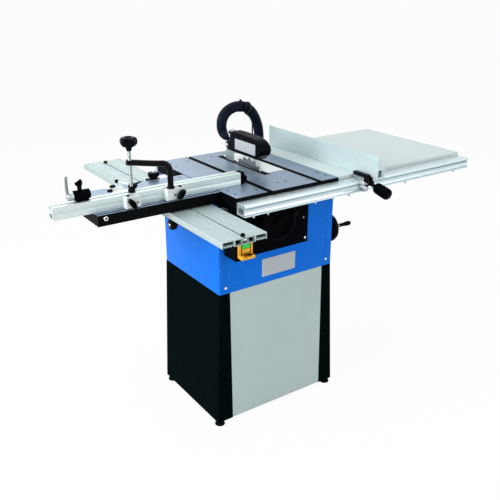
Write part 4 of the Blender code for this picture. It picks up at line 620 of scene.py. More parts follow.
# base: the pieces that keep their node's shape, with the width their edges are eased by
basePanels = {"base_left_panel": blackSheet, "base_right_panel": blackSheet, "base_rear_panel": blackSheet,
              "base_front_panel": greyPaint}
for node, finish in basePanels.items():
    easedNode(node, finish, 0.0007)
footPad = {"stem": 0.0055, "collar": 0.012}
for node in ("foot_front_left", "foot_front_right", "foot_rear_left", "foot_rear_right"):
    low, high = nodeBox(node)
    middle = (low + high) / 2
    radius, height = (high - low)[0] / 2, high[2] - low[2]
    profile = [(0, height), (footPad["stem"], height), (footPad["stem"], footPad["collar"]), (radius * 0.62, 0.011),
               (radius * 0.92, 0.006), (radius, 0.0015), (radius * 0.96, 0), (0, 0)]
    foot = turnedPiece(node + "_pad", profile, (middle[0], middle[1], 0), toTop, footRubber, "saw", 48, 0.0012)
    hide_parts(node)

# housing
easedNode("housing", bluePaint, 0.0006)
easedNode("control_panel", blackPlastic, 0.0005)
print("base and housing made")


# housing details
housingLow, housingHigh = nodeBox("housing")
housingFront, housingTop = housingLow[1], housingHigh[2]
fold = {"width": 0.024, "proud": 0.0009, "drop": 0.0006, "inset": 0.0012}
for name, edge, side in (("housingFoldLeft", housingLow[0] + fold["inset"], -1),
                         ("housingFoldRight", housingHigh[0] - fold["inset"], 1)):
    inner = edge - side * fold["width"]
    low, high = housingLow[2] + fold["drop"], housingTop - fold["drop"]
    prismPiece(name, block((min(edge, inner), low), (max(edge, inner), high), 0.001), housingFront - fold["proud"],
               housingFront + 0.0004, "Y", bluePaint, "saw", 0.0005)
housingScrews = {
    "front": ((-0.009, 0.529), (0.417, 0.532)),      # across, up
    "right": (0.085, 0.395),                         # along the side
    "rear": (0.02, 0.39),                            # across the back
    "up": 0.529,
}
for i, (x, z) in enumerate(housingScrews["front"]):
    screwHead(f"housingScrewFront{i}", (x, housingFront - fold["proud"], z), toFront, 0.0052, "saw", height=0.0030)
for i, (y, x) in enumerate(zip(housingScrews["right"], housingScrews["rear"])):
    screwHead(f"housingScrewRight{i}", (housingHigh[0], y, housingScrews["up"]), toRight, 0.0045, "saw")
    screwHead(f"housingScrewRear{i}", (x, housingHigh[1], housingScrews["up"]), toRear, 0.0045, "saw")
panelScrews = {
    "places": ((0.3115, 0.711), (0.3210, 0.6350), (0.0800, 0.785), (0.0800, 0.632), (0.318, 0.789)),
    "bright": 1,       # which of them is the large bright one
}
panelFront = nodeBox("control_panel")[0][1]
for i, (x, z) in enumerate(panelScrews["places"]):
    radius, finish = (0.0046, chrome) if i == panelScrews["bright"] else (0.0032, plainSteel)
    screwHead(f"panelScrew{i}", (x, panelFront, z), toFront, radius, "saw", finish)

# dark plates round the housing's front left corner, and a short cable beside it
cover = {"left": -0.0330, "right": 0.0695, "rear": 0.1250, "low": 0.7420, "sideLow": 0.7860, "rounding": 0.002}
coverTop = housingTop - 0.0010
coverPlates = (
    ("frontCoverPlate", (cover["left"], cover["low"]), (cover["right"], coverTop),
     housingFront - 0.0030, housingFront + 0.0004, "Y", 0.0006),
    ("sideCoverPlate", (housingFront - 0.0020, cover["sideLow"]), (cover["rear"], coverTop),
     housingLow[0] - 0.0006, housingLow[0] + 0.0004, "X", 0.0003),
    ("topCoverPlate", (housingLow[0] + 0.0004, housingFront - 0.0020), (cover["right"], cover["rear"]),
     coverTop, housingTop + 0.0002, "Z", 0.0002),
)
for name, low, high, start, end, axis, edge in coverPlates:
    prismPiece(name, block(low, high, cover["rounding"]), start, end, axis, blackPlastic, "saw", edge)
cable = {"radius": 0.0022,
         "route": [(-0.0340, 0.0480, 0.8070), (-0.0240, 0.0470, 0.8095), (-0.0140, 0.0465, 0.8080),
                   (-0.0060, 0.0470, 0.8030), (-0.0020, 0.0490, 0.7970)]}
tubePiece("cableStub", cable["route"], cable["radius"], paddleSteel, "saw", 20, 0.4)

# blank badge plates: one on the housing, one on each side of the guard
badge = {"low": (0.1368, 0.5313), "high": (0.2776, 0.5960), "thick": 0.0012}
prismPiece("housingBlankPlate", block(badge["low"], badge["high"], 0.002), housingFront - badge["thick"],
           housingFront + 0.0002, "Y", plateMetal, "saw", 0.0004)
guardPlate = {"low": (0.2114, 0.9060), "high": (0.3370, 0.9440), "thick": 0.0012, "sunk": 0.0003}
guardLow, guardHigh = nodeBox("guard_hood")
for name, start, end in (
    ("guardBlankPlate", guardLow[0] - guardPlate["thick"], guardLow[0] + guardPlate["sunk"]),
    ("guardBlankPlateRight", guardHigh[0] - guardPlate["sunk"], guardHigh[0] + guardPlate["thick"]),
):
    prismPiece(name, block(guardPlate["low"], guardPlate["high"], 0.0015), start, end, "X", plateMetal, "guard", 0.0004)
print("housing details made")

# tables, rails, fences and castings that keep their node's shape: finish, eased width, steps of the easing
easedPieces = {
    "main_table": (tableIron, 0.0006, 2),
    "cross_table": (tableIron, 0.0008, 2),
    "table_insert": (insertPlaned, 0.0005, 2),
    "extension_table": (palePaint, 0.0012, 3),
    "rear_rail": (railAluminium, 0.0006, 2),
    "carriage_guide": (darkIron, 0.0008, 2),
    "cross_fence": (crossAluminium, 0.0004, 2),
    "rip_fence": (fenceAluminium, 0.0003, 2),
    "mitre_plate": (whiteCasting, 0.0005, 2),
    "dust_outlet": (blackPlastic, 0.0006, 2),
    "trunnion": (darkIron, 0.0006, 2),
    "tilt_frame": (darkIron, 0.0006, 2),
    "lift_carriage": (darkIron, 0.0006, 2),
}
for node, (finish, width, steps) in easedPieces.items():
    easedNode(node, finish, width, steps)


# points (y, z) along an arc, with its angles in degrees
def arc(y, z, radius, start, end, count):
    angle = np.radians(np.linspace(start, end, count))
    return np.stack([y + radius * np.cos(angle), z + radius * np.sin(angle)], -1)


# front rail: a bead along its top edge, a shallow hollow down its front and a rounded foot
rail = {
    "bead": (-0.0405, 0.8315, 0.0055),
    "foot": (-0.0430, 0.8020, 0.0030),
    "face": -0.0452,
    "dip": 0.0030,                          # how deep the hollow down its front is
    "bore": (-0.0230, 0.8145),              # middle of the hollow through its ends
    "boreHalf": (0.0150, 0.0095),
    "boreLong": 0.120,
    "ports": ((-0.0065, 0.8315), (-0.0385, 0.8310), (-0.0400, 0.8030)),      # screw ports in its ends
    "bolts": (0.040, 0.094, 0.284, 0.360, 0.430, 0.700, 0.957),
    "boltLine": -0.0350,
    "boltRadius": 0.0045,
    "boltHeight": 0.0075,
}
railLow, railHigh = nodeBox("front_rail")
dip = np.sin(np.linspace(0, np.pi, 12))
railFace = np.stack([rail["face"] + rail["dip"] * dip, np.linspace(0.8225, 0.8065, 12)], -1)
railLoop = np.vstack([
    [(-0.0003, 0.8370), (-0.0150, 0.8370), (-0.0300, 0.8370)], arc(*rail["bead"], 95, 260, 12),
    [(-0.0395, 0.8245)], railFace, [(-0.0425, 0.8045)], arc(*rail["foot"], 150, 285, 7),
    [(-0.0300, 0.7990), (-0.0150, 0.7990), (-0.0003, 0.7990), (-0.0003, 0.8120), (-0.0003, 0.8240)],
])
frontRail = hollowBar("frontRail", railLoop, rail["bore"], rail["boreHalf"], railLow[0], railHigh[0],
                      rail["boreLong"], railAluminium, "saw", 0.0004)
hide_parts("front_rail")
portRing = [(0.0024, 0.0003), (0.0036, 0.0003), (0.0038, -0.0008), (0.0024, -0.0008), (0.0024, 0.0003)]
# a black disc in each port: painted shade of its hole
portHoleShade = [(0, 0.0001), (0.0025, 0.0001), (0.0025, -0.0006), (0, -0.0006)]
for side, x in ((-1, railLow[0]), (1, railHigh[0])):
    for k, (y, z) in enumerate(rail["ports"]):
        mark = f"{sideLetter[side]}{k}"
        turnedPiece("railPort" + mark, portRing, (x, y, z), (side, 0, 0), railAluminium, "saw", 24, 0.0001)
        turnedPiece("railPortHoleShade" + mark, portHoleShade, (x, y, z), (side, 0, 0), blackPlastic, "saw", 20, 0.0001)
hexagon = rail["boltRadius"] * roundSection(6)
for i, x in enumerate(rail["bolts"]):
    head = fillet(np.array((x, rail["boltLine"])) + hexagon, 0.0004, steps=1)
    prismPiece(f"railBolt{i}", head, railLow[2] - rail["boltHeight"], railLow[2] + 0.001, "Z", plainSteel, "saw",
               0.0006)
    turnedPiece(f"railNut{i}", [(0, 0.003), (0.0022, 0.003), (0.0022, 0), (0, 0)],
                (x, rail["boltLine"], railLow[2] - rail["boltHeight"] - 0.0025), toTop, plainSteel, "saw", 16, 0.0004)

# graduated strip along the rail's top: a tick for every millimetre, longer at five and ten
strip = {
    "left": 0.420, "right": 1.000, "front": -0.0165, "back": -0.0045, "thick": 0.0004,
    "paper": (0.700, 0.720, 0.700),
    "ink": (0.02, 0.02, 0.025),
}
scaleFinish = Finish("railScaleStrip", strip["paper"], 0.4, metal=0.1)
where = scaleFinish.add("ShaderNodeSeparateXYZ")
stripCorner = (strip["left"] + corner[0], strip["front"] + corner[1])
scaleFinish.join(scaleFinish.spot(shift=(-stripCorner[0], -stripCorner[1], 0)), where.inputs["Vector"])


# 1 within half a line's width of each multiple of the pitch, for the part of the strip the line covers
def tickMask(finish, pitch, wide, long):
    count = finish.sums("ADD", finish.sums("DIVIDE", where.outputs["X"], pitch), 0.5)
    away = finish.sums("ABSOLUTE", finish.sums("SUBTRACT", finish.sums("FRACT", count), 0.5))
    near = finish.sums("LESS_THAN", away, wide / pitch / 2)
    return finish.sums("MULTIPLY", near, finish.sums("LESS_THAN", where.outputs["Y"], long))


longer = scaleFinish.sums("MAXIMUM", tickMask(scaleFinish, 0.005, 0.0003, 0.0055),
                          tickMask(scaleFinish, 0.010, 0.0004, 0.0085))
marks = scaleFinish.sums("MAXIMUM", tickMask(scaleFinish, 0.001, 0.00022, 0.0035), longer)
scaleFinish.use(scaleFinish.tint(marks, strip["paper"], strip["ink"]),
                scaleFinish.sweep(scaleFinish.noise(0.02), 0.3, 0.7, 0.34, 0.46),
                scaleFinish.bumped(scaleFinish.noise(0.001), 0.00002, 0.4))
prismPiece("railScaleStrip", block((strip["left"], strip["front"]), (strip["right"], strip["back"]), 0.0006),
           railHigh[2] - 0.0001, railHigh[2] + strip["thick"], "Z", scaleFinish.made, "saw", 0.0002)

# ring bolt in the cross table's front edge
ringBolt = {"across": -0.387, "up": 0.8375, "radius": 0.0072, "bore": 0.0032}
ringPlace = (ringBolt["across"], nodeBox("cross_table")[0][1], ringBolt["up"])
ringProfile = [(ringBolt["bore"], -0.001), (ringBolt["bore"], 0.0012), (ringBolt["bore"] + 0.001, 0.0022),
               (ringBolt["radius"] - 0.0012, 0.0022), (ringBolt["radius"], 0.0008), (ringBolt["radius"], -0.001),
               (ringBolt["bore"], -0.001)]
turnedPiece("crossTableRing", ringProfile, ringPlace, toFront, chrome, "cross_table", 32, 0.0004)
turnedPiece("crossTableRingCore", [(0, 0.0006), (ringBolt["bore"], 0.0006), (ringBolt["bore"], -0.001), (0, -0.001)],
            ringPlace, toFront, knobPlastic, "cross_table", 24, 0.0003)

# table screws: dark sunk heads in holes with a dark rim
tableScrew = {
    "places": ((0.390, 0.086), (0.389, 0.042), (0.307, 0.038), (0.235, 0.063), (0.206, 0.065), (0.101, 0.039),
               (0.022, 0.040), (0.021, 0.083), (0.028, 0.470), (0.028, 0.430), (0.095, 0.470), (0.205, 0.480)),
    "radius": 0.0036,
    "sunk": 0.0045,
}
tableHoleRim = [(0.0030, -0.0006), (0.0052, 0.0001), (0.0052, -0.0010), (0.0030, -0.0012), (0.0030, -0.0006)]
for i, (x, y) in enumerate(tableScrew["places"]):
    screwHead(f"tableScrew{i}", (x, y, tableHigh.z - tableScrew["sunk"]), toTop, tableScrew["radius"], "saw", darkIron,
              0.0014, 0.5)
    turnedPiece(f"tableHole{i}", tableHoleRim, (x, y, tableHigh.z), toTop, blackPlastic, "saw", 28, 0.0001)

# countersunk screws in the insert plate
insertScrews = ((0.310, 0.195), (0.310, 0.325), (0.310, 0.455), (0.258, 0.455))
insertTop = nodeBox("table_insert")[1][2]
insertHead = [(0, -0.0006), (0.0014, -0.0006), (0.0018, 0.0002), (0.0036, 0.0002), (0.0036, -0.001), (0, -0.001)]
for i, (x, y) in enumerate(insertScrews):
    turnedPiece(f"insertScrew{i}", insertHead, (x, y, insertTop), toTop, plainSteel, "saw", 24, 0.0002)
print("tables and rails made")

# carriage beam: an extrusion of skins, webs and lips; its bars are (near, far, low, high) from the middle line
beam = {
    "low": 0.7930,
    "skinLow": 0.8104,
    "top": 0.8130,
    "slotHalf": 0.0030,
    "half": 0.0740,
    "webTop": 0.8106,
    "grooves": (0.0140, 0.0185, 0.0480, 0.0525, 0.0600, 0.0640, 0.0680),
    "grooveHalf": 0.0007,
    "grooveDeep": 0.0009,
    "bars": ((0.0090, 0.0112, 0.7930, 0.8106), (0.0090, 0.0370, 0.7930, 0.7950), (0.0318, 0.0370, 0.7932, 0.8106),
             (0.0368, 0.0738, 0.7980, 0.8000), (0.0716, 0.0740, 0.7935, 0.8106), (0.0030, 0.0046, 0.8068, 0.8106)),
    # black blocks inside the beam's chambers, painted shade of their depth
    "chamberShadeBlocks": ((0.0112, 0.0318, 0.7950), (0.0370, 0.0716, 0.8000)),      # near, far, low
    "chamberShadeSunk": 0.012,
    "chamberShadeLong": 0.006,
    "ridges": (0.046, 0.0545, 0.063),
    "stops": (0.012, 0.034),       # how far the end stops stand from its front and rear ends
    "boltHalf": 0.0058,
    "boltHeights": (0.8035, 0.8083),
    "boltLong": 0.017,
    "floorHalf": 0.0092,
    "floorThick": 0.0018,
}
beamLow, beamHigh = nodeBox("carriage_beam")
beamMiddle, beamFront, beamRear = (beamLow[0] + beamHigh[0]) / 2, beamLow[1], beamHigh[1]
endStopProfile = [(0, 0.0085), (0.0030, 0.0089), (0.0058, 0.0075), (0.0065, 0.0050), (0.0062, 0.0003), (0.0028, 0.0003),
                  (0.0028, -0.0096), (0, -0.0096)]
for name, node, y in (("endStopFront", "end_stop_front", beamFront + beam["stops"][0]),
                      ("endStopRear", "end_stop_rear", beamRear - beam["stops"][1])):
    stop = turnedPiece(name, endStopProfile, (beamMiddle, y, beamHigh[2]), toTop, footRubber, "carriage", 40, 0.0012)
    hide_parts(node)
boltLow, boltHigh = beam["boltHeights"]
slotBolt = block((beamMiddle - beam["boltHalf"], boltLow), (beamMiddle + beam["boltHalf"], boltHigh), 0.0008)
prismPiece("beamSlotBolt", slotBolt, beamFront + 0.0004, beamFront + beam["boltLong"], "Y", chrome, "carriage", 0.0006)


# the outline of a bar of the beam: a rectangle between two distances from its middle line, on one side
def beamBlock(side, near, far, low, high, spread=0.0):
    a, b = sorted((beamMiddle + side * near, beamMiddle + side * far))
    return block((a - spread, low - spread), (b + spread, high), 0.0004)


beamBars = []
for side in (-1, 1):       # top skin: its upper line dips into a fine groove at each offset
    line = [(beam["slotHalf"], beam["skinLow"]), (beam["slotHalf"], beam["top"])]
    for offset in beam["grooves"]:
        line += [(offset - beam["grooveHalf"], beam["top"]), (offset, beam["top"] - beam["grooveDeep"]),
                 (offset + beam["grooveHalf"], beam["top"])]
    line = np.array(line + [(beam["half"], beam["top"]), (beam["half"], beam["skinLow"])])
    line[:, 0] = beamMiddle + side * line[:, 0]
    beamBars.append(prismPiece(f"beamSkin{sideLetter[side]}", line, beamFront, beamRear, "Y", beamAluminium,
                               "carriage", 0.0002, 1))
for near, far, low, high in beam["bars"]:
    for side in (-1, 1):
        outline = beamBlock(side, near, far, low, high)
        beamBars.append(prismPiece(f"beamBar{len(beamBars)}", outline, beamFront, beamRear, "Y", beamAluminium,
                                   "carriage", 0.0003, 2))
slotFloor = block((beamMiddle - beam["floorHalf"], beam["low"]),
                  (beamMiddle + beam["floorHalf"], beam["low"] + beam["floorThick"]), 0.0004)
prismPiece("beamSlotFloor", slotFloor, beamFront, beamRear, "Y", beamAluminium, "carriage", 0.0003, 2)
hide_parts("carriage_beam")
chamberShadePlaces = {"Front": beamFront + beam["chamberShadeSunk"], "Rear": beamRear - beam["chamberShadeSunk"] - beam["chamberShadeLong"]}
for k, (near, far, low) in enumerate(beam["chamberShadeBlocks"]):      # black blocks sunk in the chambers' ends: painted shade that darkens the chambers
    for side in (-1, 1):
        outline = beamBlock(side, near, far, low, beam["webTop"], 0.0002)
        for end, y in chamberShadePlaces.items():
            prismPiece(f"beamPlug{end}{sideLetter[side]}{k}", outline, y, y + beam["chamberShadeLong"], "Y", blackPlastic,
                       "carriage", 0.0002, 1)
for side in (-1, 1):       # low ridges below the beam's outer wings, seen at its ends
    for k, offset in enumerate(beam["ridges"]):
        x = beamMiddle + side * offset
        outline = [(x - 0.0014, 0.7945), (x + 0.0014, 0.7945), (x + 0.0020, 0.7984), (x - 0.0020, 0.7984)]
        prismPiece(f"beamRidge{sideLetter[side]}{k}", fillet(outline, 0.0006), beamFront, beamRear, "Y", beamAluminium,
                   "carriage", 0.0003)


# dents round a knob, grip or wheel, 0 to 1: a raised cosine with this many waves
def lobes(angle, count, shift=0.0):
    return 0.5 + 0.5 * np.cos(count * angle + shift)


# knob that locks the carriage
lockKnob = {
    "place": (beamMiddle - 0.034, 0.100, 0.772),
    "cap": 0.0378,       # how far its cap stands out from its foot
    "profile": [(0, 0.0375), (0.0090, 0.0380), (0.0165, 0.0365), (0.0180, 0.0330), (0.0178, 0.0215), (0.0160, 0.0175),
                (0.0080, 0.0168), (0.0065, 0.0140), (0.0040, 0.0138), (0.0040, 0.0010), (0, 0.0010)],
}
lock = turnedPiece("carriageLockKnob", lockKnob["profile"], lockKnob["place"], toLeft, knobPlastic, "carriage_lock", 70,
                   0.0012, lambda angle, height: -0.045 * lobes(angle, 7) * (height > 0.016))
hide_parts("carriage_lock_knob")
capPlace = (lockKnob["place"][0] - lockKnob["cap"], *lockKnob["place"][1:])
screwHead("carriageLockCap", capPlace, toLeft, 0.0052, "carriage_lock", chrome, 0.0014)
turnedPiece("carriageLockStud", [(0, 0.0140), (0.0036, 0.0140), (0.0036, -0.010), (0, -0.010)], lockKnob["place"],
            toLeft, chrome, "carriage_lock", 24, 0.0003)

# five-lobed knob that clamps the cross table on the beam
clampKnob = {
    "place": (beamMiddle, 0.341, 0.8483),
    "profile": [(0, 0.0215), (0.0060, 0.0225), (0.0150, 0.0230), (0.0195, 0.0200), (0.0200, 0.0120), (0.0180, 0.0075),
                (0.0110, 0.0060), (0.0105, 0.0000), (0, 0.0)],
    "bolt": [(0, 0.0250), (0.0026, 0.0250), (0.0036, 0.0240), (0.0036, 0.0200), (0, 0.0200)],
    "stem": [(0, 0.0), (0.0036, 0.0), (0.0036, -0.0330), (0.0027, -0.0335), (0.0027, -0.0420), (0, -0.0420)],
}
clamp = turnedPiece("crossClampKnob", clampKnob["profile"], clampKnob["place"], toTop, knobPlastic, "cross_clamp", 80,
                    0.0014, lambda angle, height: -0.24 * lobes(angle, 5, np.pi / 2) ** 1.4
                    * np.clip((height - 0.006) / 0.003, 0, 1))
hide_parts("cross_clamp_knob")
turnedPiece("crossClampBolt", clampKnob["bolt"], clampKnob["place"], toTop, chrome, "cross_clamp", 24, 0.0004)
turnedPiece("crossClampStem", clampKnob["stem"], clampKnob["place"], toTop, plainSteel, "cross_clamp", 24, 0.0003)
print("carriage made")

# cross fence's brackets: a white casting, a set screw and an oval knob turned by the angle in degrees
bar = {"low": 0.8505, "size": 0.038}
bracket = {
    "front": 0.0897,
    "rear": 0.1127,
    "top": 0.8865,
    "rounding": (0.0015, 0.0015, 0.0045, 0.0045),
    "ovalHalf": (0.0175, 0.0086),
    "ovalUp": 0.018,         # from the fence's underside
    "ovalDepth": (0.0185, 0.0022),       # in front of the casting, from and to
    "insetShare": 0.72,
    "insetDepth": (0.0189, 0.0160),
    "screwUp": 0.0165,
    "topScrews": {"pivotBracketTopScrew": -0.3090, "postBracketTopScrew": -0.1370},
    "topScrewsBack": 0.1010,
    "pin": (-0.297, 0.0985, 0.85),
}
for name, node, body, left, right, knobX, knobTurn, screwX in (
    ("pivotBracket", "pivot_bracket", "pivot_knob", -0.3210, -0.2730, -0.3050, -58.0, -0.2850),
    ("postBracket", "post_bracket", "post_knob", -0.1870, -0.1290, -0.1450, 48.0, -0.1605),
):
    outline = block((left, bar["low"]), (right, bracket["top"]), bracket["rounding"])
    casting = prismPiece(name, outline, bracket["front"], bracket["rear"], "Y", whiteCasting, "cross_fence", 0.0026, 4)
    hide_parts(node)
    screwHead(name + "SetScrew", (screwX, bracket["front"], bar["low"] + bracket["screwUp"]), toFront, 0.0030,
              "cross_fence", knobPlastic, 0.0008, 0.55)
    turn = math.radians(knobTurn)
    angle = np.linspace(0, 2 * np.pi, 48, endpoint=False)
    u, v = bracket["ovalHalf"][0] * np.cos(angle), bracket["ovalHalf"][1] * np.sin(angle)
    oval = np.stack([u * math.cos(turn) - v * math.sin(turn), u * math.sin(turn) + v * math.cos(turn)], -1)
    middle = np.array((knobX, bar["low"] + bracket["ovalUp"]))
    start, end = bracket["front"] - np.array(bracket["ovalDepth"])
    ovalKnob = prismPiece(body + "_oval", middle + oval, start, end, "Y", knobPlastic, body, 0.0038, 5)
    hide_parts(body)
    start, end = bracket["front"] - np.array(bracket["insetDepth"])
    prismPiece(body + "_inset", middle + bracket["insetShare"] * oval, start, end, "Y", blackPlastic, body, 0.0004)
    turnedPiece(body + "_stud", [(0, 0.006), (0.0040, 0.006), (0.0040, -0.006), (0, -0.006)],
                (knobX, bracket["front"], middle[1]), toFront, chrome, body, 24, 0.0004)
for name, x in bracket["topScrews"].items():
    screwHead(name, (x, bracket["topScrewsBack"], bracket["top"] - 0.0002), toTop, 0.0052, "cross_fence", knobPlastic,
              0.0038, 0.5)
turnedPiece("mitrePivotPin", [(0, 0.010), (0.0029, 0.010), (0.0029, -0.0065), (0, -0.0065)], bracket["pin"], toTop,
            plainSteel, "cross_fence", 24, 0.0004)

# block and small knob at the fence's right end
fenceEnd = {"left": 0.0918, "right": 0.1100, "front": 0.117, "rear": 0.149, "knob": (0.131, 0.014)}
outline = block((fenceEnd["left"], bar["low"]), (fenceEnd["right"], bar["low"] + bar["size"]), 0.0025)
endBlock = prismPiece("fenceEndBlock", outline, fenceEnd["front"], fenceEnd["rear"], "Y", blackPlastic, "cross_fence",
                      0.0022)
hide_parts("fence_end_block")
turnedPiece("fenceEndKnob", [(0, 0.0132), (0.0085, 0.0132), (0.0110, 0.0115), (0.0110, 0.0045), (0.0080, 0.0025),
                             (0.0070, 0), (0, 0)],
            (fenceEnd["right"], fenceEnd["knob"][0], bar["low"] + fenceEnd["knob"][1]), toRight, knobPlastic,
            "cross_fence", 60, 0.001, lambda angle, height: -0.16 * lobes(angle, 4) * (height > 0.004))

# mitre clamp: flat hub, pointed lever and a rod with a ball end; two index blocks lie on its plate
mitre = {
    "place": np.array((-0.261, 0.171, 0.8548)),
    "up": 0.0390,                                # height of the lever's root above its foot
    "point": np.array((0.0330, 0.0075, 0.0050)),
    "rod": np.array((-0.0280, 0.0440, 0.0060)),
    "rodRadius": 0.0031,
    "hub": [(0, 0.0455), (0.0060, 0.0460), (0.0120, 0.0430), (0.0150, 0.0390), (0.0145, 0.0350), (0.0100, 0.0320),
            (0.0095, 0.0003), (0.0038, 0.0003), (0.0038, -0.0038), (0, -0.0038)],
    "ball": [(0, 0.0130), (0.0030, 0.0126), (0.0056, 0.0100), (0.0062, 0.0065), (0.0052, 0.0025), (0.0034, 0), (0, 0)],
    "blocks": ((-0.2940, 0.2700), (-0.2690, 0.3080)),
    "blockHalf": (0.0080, 0.0055),
    "blockHigh": 0.0070,
    "ballOut": np.array((-0.0265, 0.0415, 0.0445)),
}
hub = turnedPiece("mitreLeverHub", mitre["hub"], mitre["place"], toTop, knobPlastic, "mitre_lever", 56, 0.0012)
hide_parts("mitre_lever")
share = np.linspace(0, 1, 12)[:, None]       # of the way along the lever and the rod
leverLine = (mitre["place"] + np.array((0.004, 0.001, mitre["up"])) + share * mitre["point"]
             + np.array((0, 0, 0.0015)) * np.sin(np.pi * share))
rings = carried(leverLine, roundSection(24) * np.array((1.0, 0.55)), 0.0070 * (1 - 0.82 * share[:, 0] ** 1.2))
makePiece("mitreLeverPoint", rings.reshape(-1, 3), cappedFaces(12, 24), knobPlastic, "mitre_lever")
tubePiece("mitreLeverRod", mitre["place"] + np.array((0, 0, mitre["up"])) + share * mitre["rod"], mitre["rodRadius"],
          plainSteel, "mitre_lever", 20, 0.5)
plateTop = nodeBox("mitre_plate")[1][2]
for k, place in enumerate(mitre["blocks"]):
    outline = block(np.subtract(place, mitre["blockHalf"]), np.add(place, mitre["blockHalf"]), 0.0015)
    prismPiece(f"mitreIndexBlock{k}", outline, plateTop - 0.0002, plateTop + mitre["blockHigh"], "Z", knobPlastic,
               cadNodes["mitre_plate"]["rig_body"], 0.0010)
turnedPiece("mitreLeverBall", mitre["ball"], mitre["place"] + mitre["ballOut"], unit(mitre["rod"]), knobPlastic,
            "mitre_lever", 32, 0.0012)

# flip stop: ribbed barrel with three bands, bright hub, tapered paddle and a wing knob
flip = {
    "x": -0.436, "y": 0.132, "z": 0.9065,
    "radius": 0.0142,
    "half": 0.0245,
    "bands": (-0.449, -0.436, -0.423),
    "foot": ((-0.4545, 0.1230), (-0.4175, 0.1410)),
    "footHeights": (0.8890, 0.9060),
    "key": ((-0.4485, 0.1292), (-0.4235, 0.1348)),
    "keyHeights": (0.8826, 0.8900),
    "paddleHalf": 0.0105,
    "paddleTaper": 0.0035,
    "paddleLong": 0.0545,
    "paddleThick": 0.0062,
    "hub": [(0, 0.0195), (0.0055, 0.0195), (0.0062, 0.0180), (0.0112, 0.0175), (0.0125, 0.0160), (0.0125, 0.0010),
            (0.0115, 0.0003), (0, 0.0003)],
    "stem": [(0, 0.0130), (0.0050, 0.0130), (0.0062, 0.0095), (0.0068, 0.0015), (0.0030, 0.0012), (0.0030, -0.0075),
             (0, -0.0075)],
    "wings": [(-0.0035, 0.004), (0.0040, 0.004), (0.0085, 0.014), (0.0098, 0.024), (0.0050, 0.0325), (0.0006, 0.0230),
              (-0.0006, 0.0150), (-0.0080, 0.0240), (-0.0135, 0.0225), (-0.0110, 0.0150), (-0.0060, 0.0100)],
}
hubX, flipLong = flip["x"] - flip["half"], 2 * flip["half"]
barrel = turnedPiece("flipStopBarrel", [(0, flipLong), (0.0120, flipLong), (flip["radius"], flipLong - 0.002),
                                        (flip["radius"], 0.002), (0.0130, 0), (0, 0)],
                     (hubX, flip["y"], flip["z"]), toRight, blackPlastic, "flip_stop", 96, 0.0008,
                     lambda angle, height: -0.035 * lobes(angle, 24))
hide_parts("stop_block")
bandRadius = flip["radius"] + 0.0002
bandProfile = [(0.0100, 0.0016), (bandRadius, 0.0012), (bandRadius, -0.0012), (0.0100, -0.0016), (0.0100, 0.0016)]
for i, x in enumerate(flip["bands"]):
    turnedPiece(f"flipStopBand{i}", bandProfile, (x, flip["y"], flip["z"]), toRight, blackPlastic, "flip_stop", 48,
                0.0004)
prismPiece("flipStopFoot", block(*flip["foot"], 0.002), *flip["footHeights"], "Z", blackPlastic, "flip_stop", 0.0010)
prismPiece("flipStopKey", block(*flip["key"], 0.001), *flip["keyHeights"], "Z", plainSteel, "flip_stop", 0.0005)
paddleHub = turnedPiece("flipStopHub", flip["hub"], (hubX, flip["y"], flip["z"]), toLeft, plainSteel, "stop_paddle",
                        48, 0.0006)
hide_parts("stop_paddle")
share = np.linspace(0, 1, 24)[:, None]       # of the way up the paddle, which is narrower and rounded at its top
paddleRoot = np.array((hubX - 0.0152, flip["y"], flip["z"] + 0.004))
paddleLine = (paddleRoot + share * np.array((0.0005, 0, flip["paddleLong"]))
              + np.array((-0.0012, 0, 0)) * np.sin(np.pi * share))
paddleSection = fillet([(-1, -0.30), (1, -0.30), (1, 0.30), (-1, 0.30)], 0.25)
tipRound = np.sqrt(np.clip(1 - np.clip((share[:, 0] - 0.90) / 0.11, 0, 1) ** 2, 0.02, 1))
paddleWide = (flip["paddleHalf"] - flip["paddleTaper"] * share[:, 0]) * tipRound
paddlePoints = (paddleLine[:, None] + paddleWide[:, None, None] * (paddleSection[None, :, :1] * np.array((0, 1, 0)))
                + flip["paddleThick"] * (paddleSection[None, :, 1:] * np.array((1, 0, 0.05))))
makePiece("flipStopPaddle", paddlePoints.reshape(-1, 3), cappedFaces(24, len(paddleSection)), paddleSteel,
          "stop_paddle")
wingFoot = np.array((-0.440, flip["y"], flip["z"] + flip["radius"]))
wingStem = turnedPiece("flipStopKnobStem", flip["stem"], wingFoot, toTop, knobPlastic, "stop_knob", 40, 0.0010)
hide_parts("stop_knob")
prismPiece("flipStopKnobWings", fillet(flip["wings"], 0.003) + wingFoot[[0, 2]], flip["y"] - 0.0032, flip["y"] + 0.0032,
           "Y", knobPlastic, "stop_knob", 0.0018, 4)
print("cross fence made")

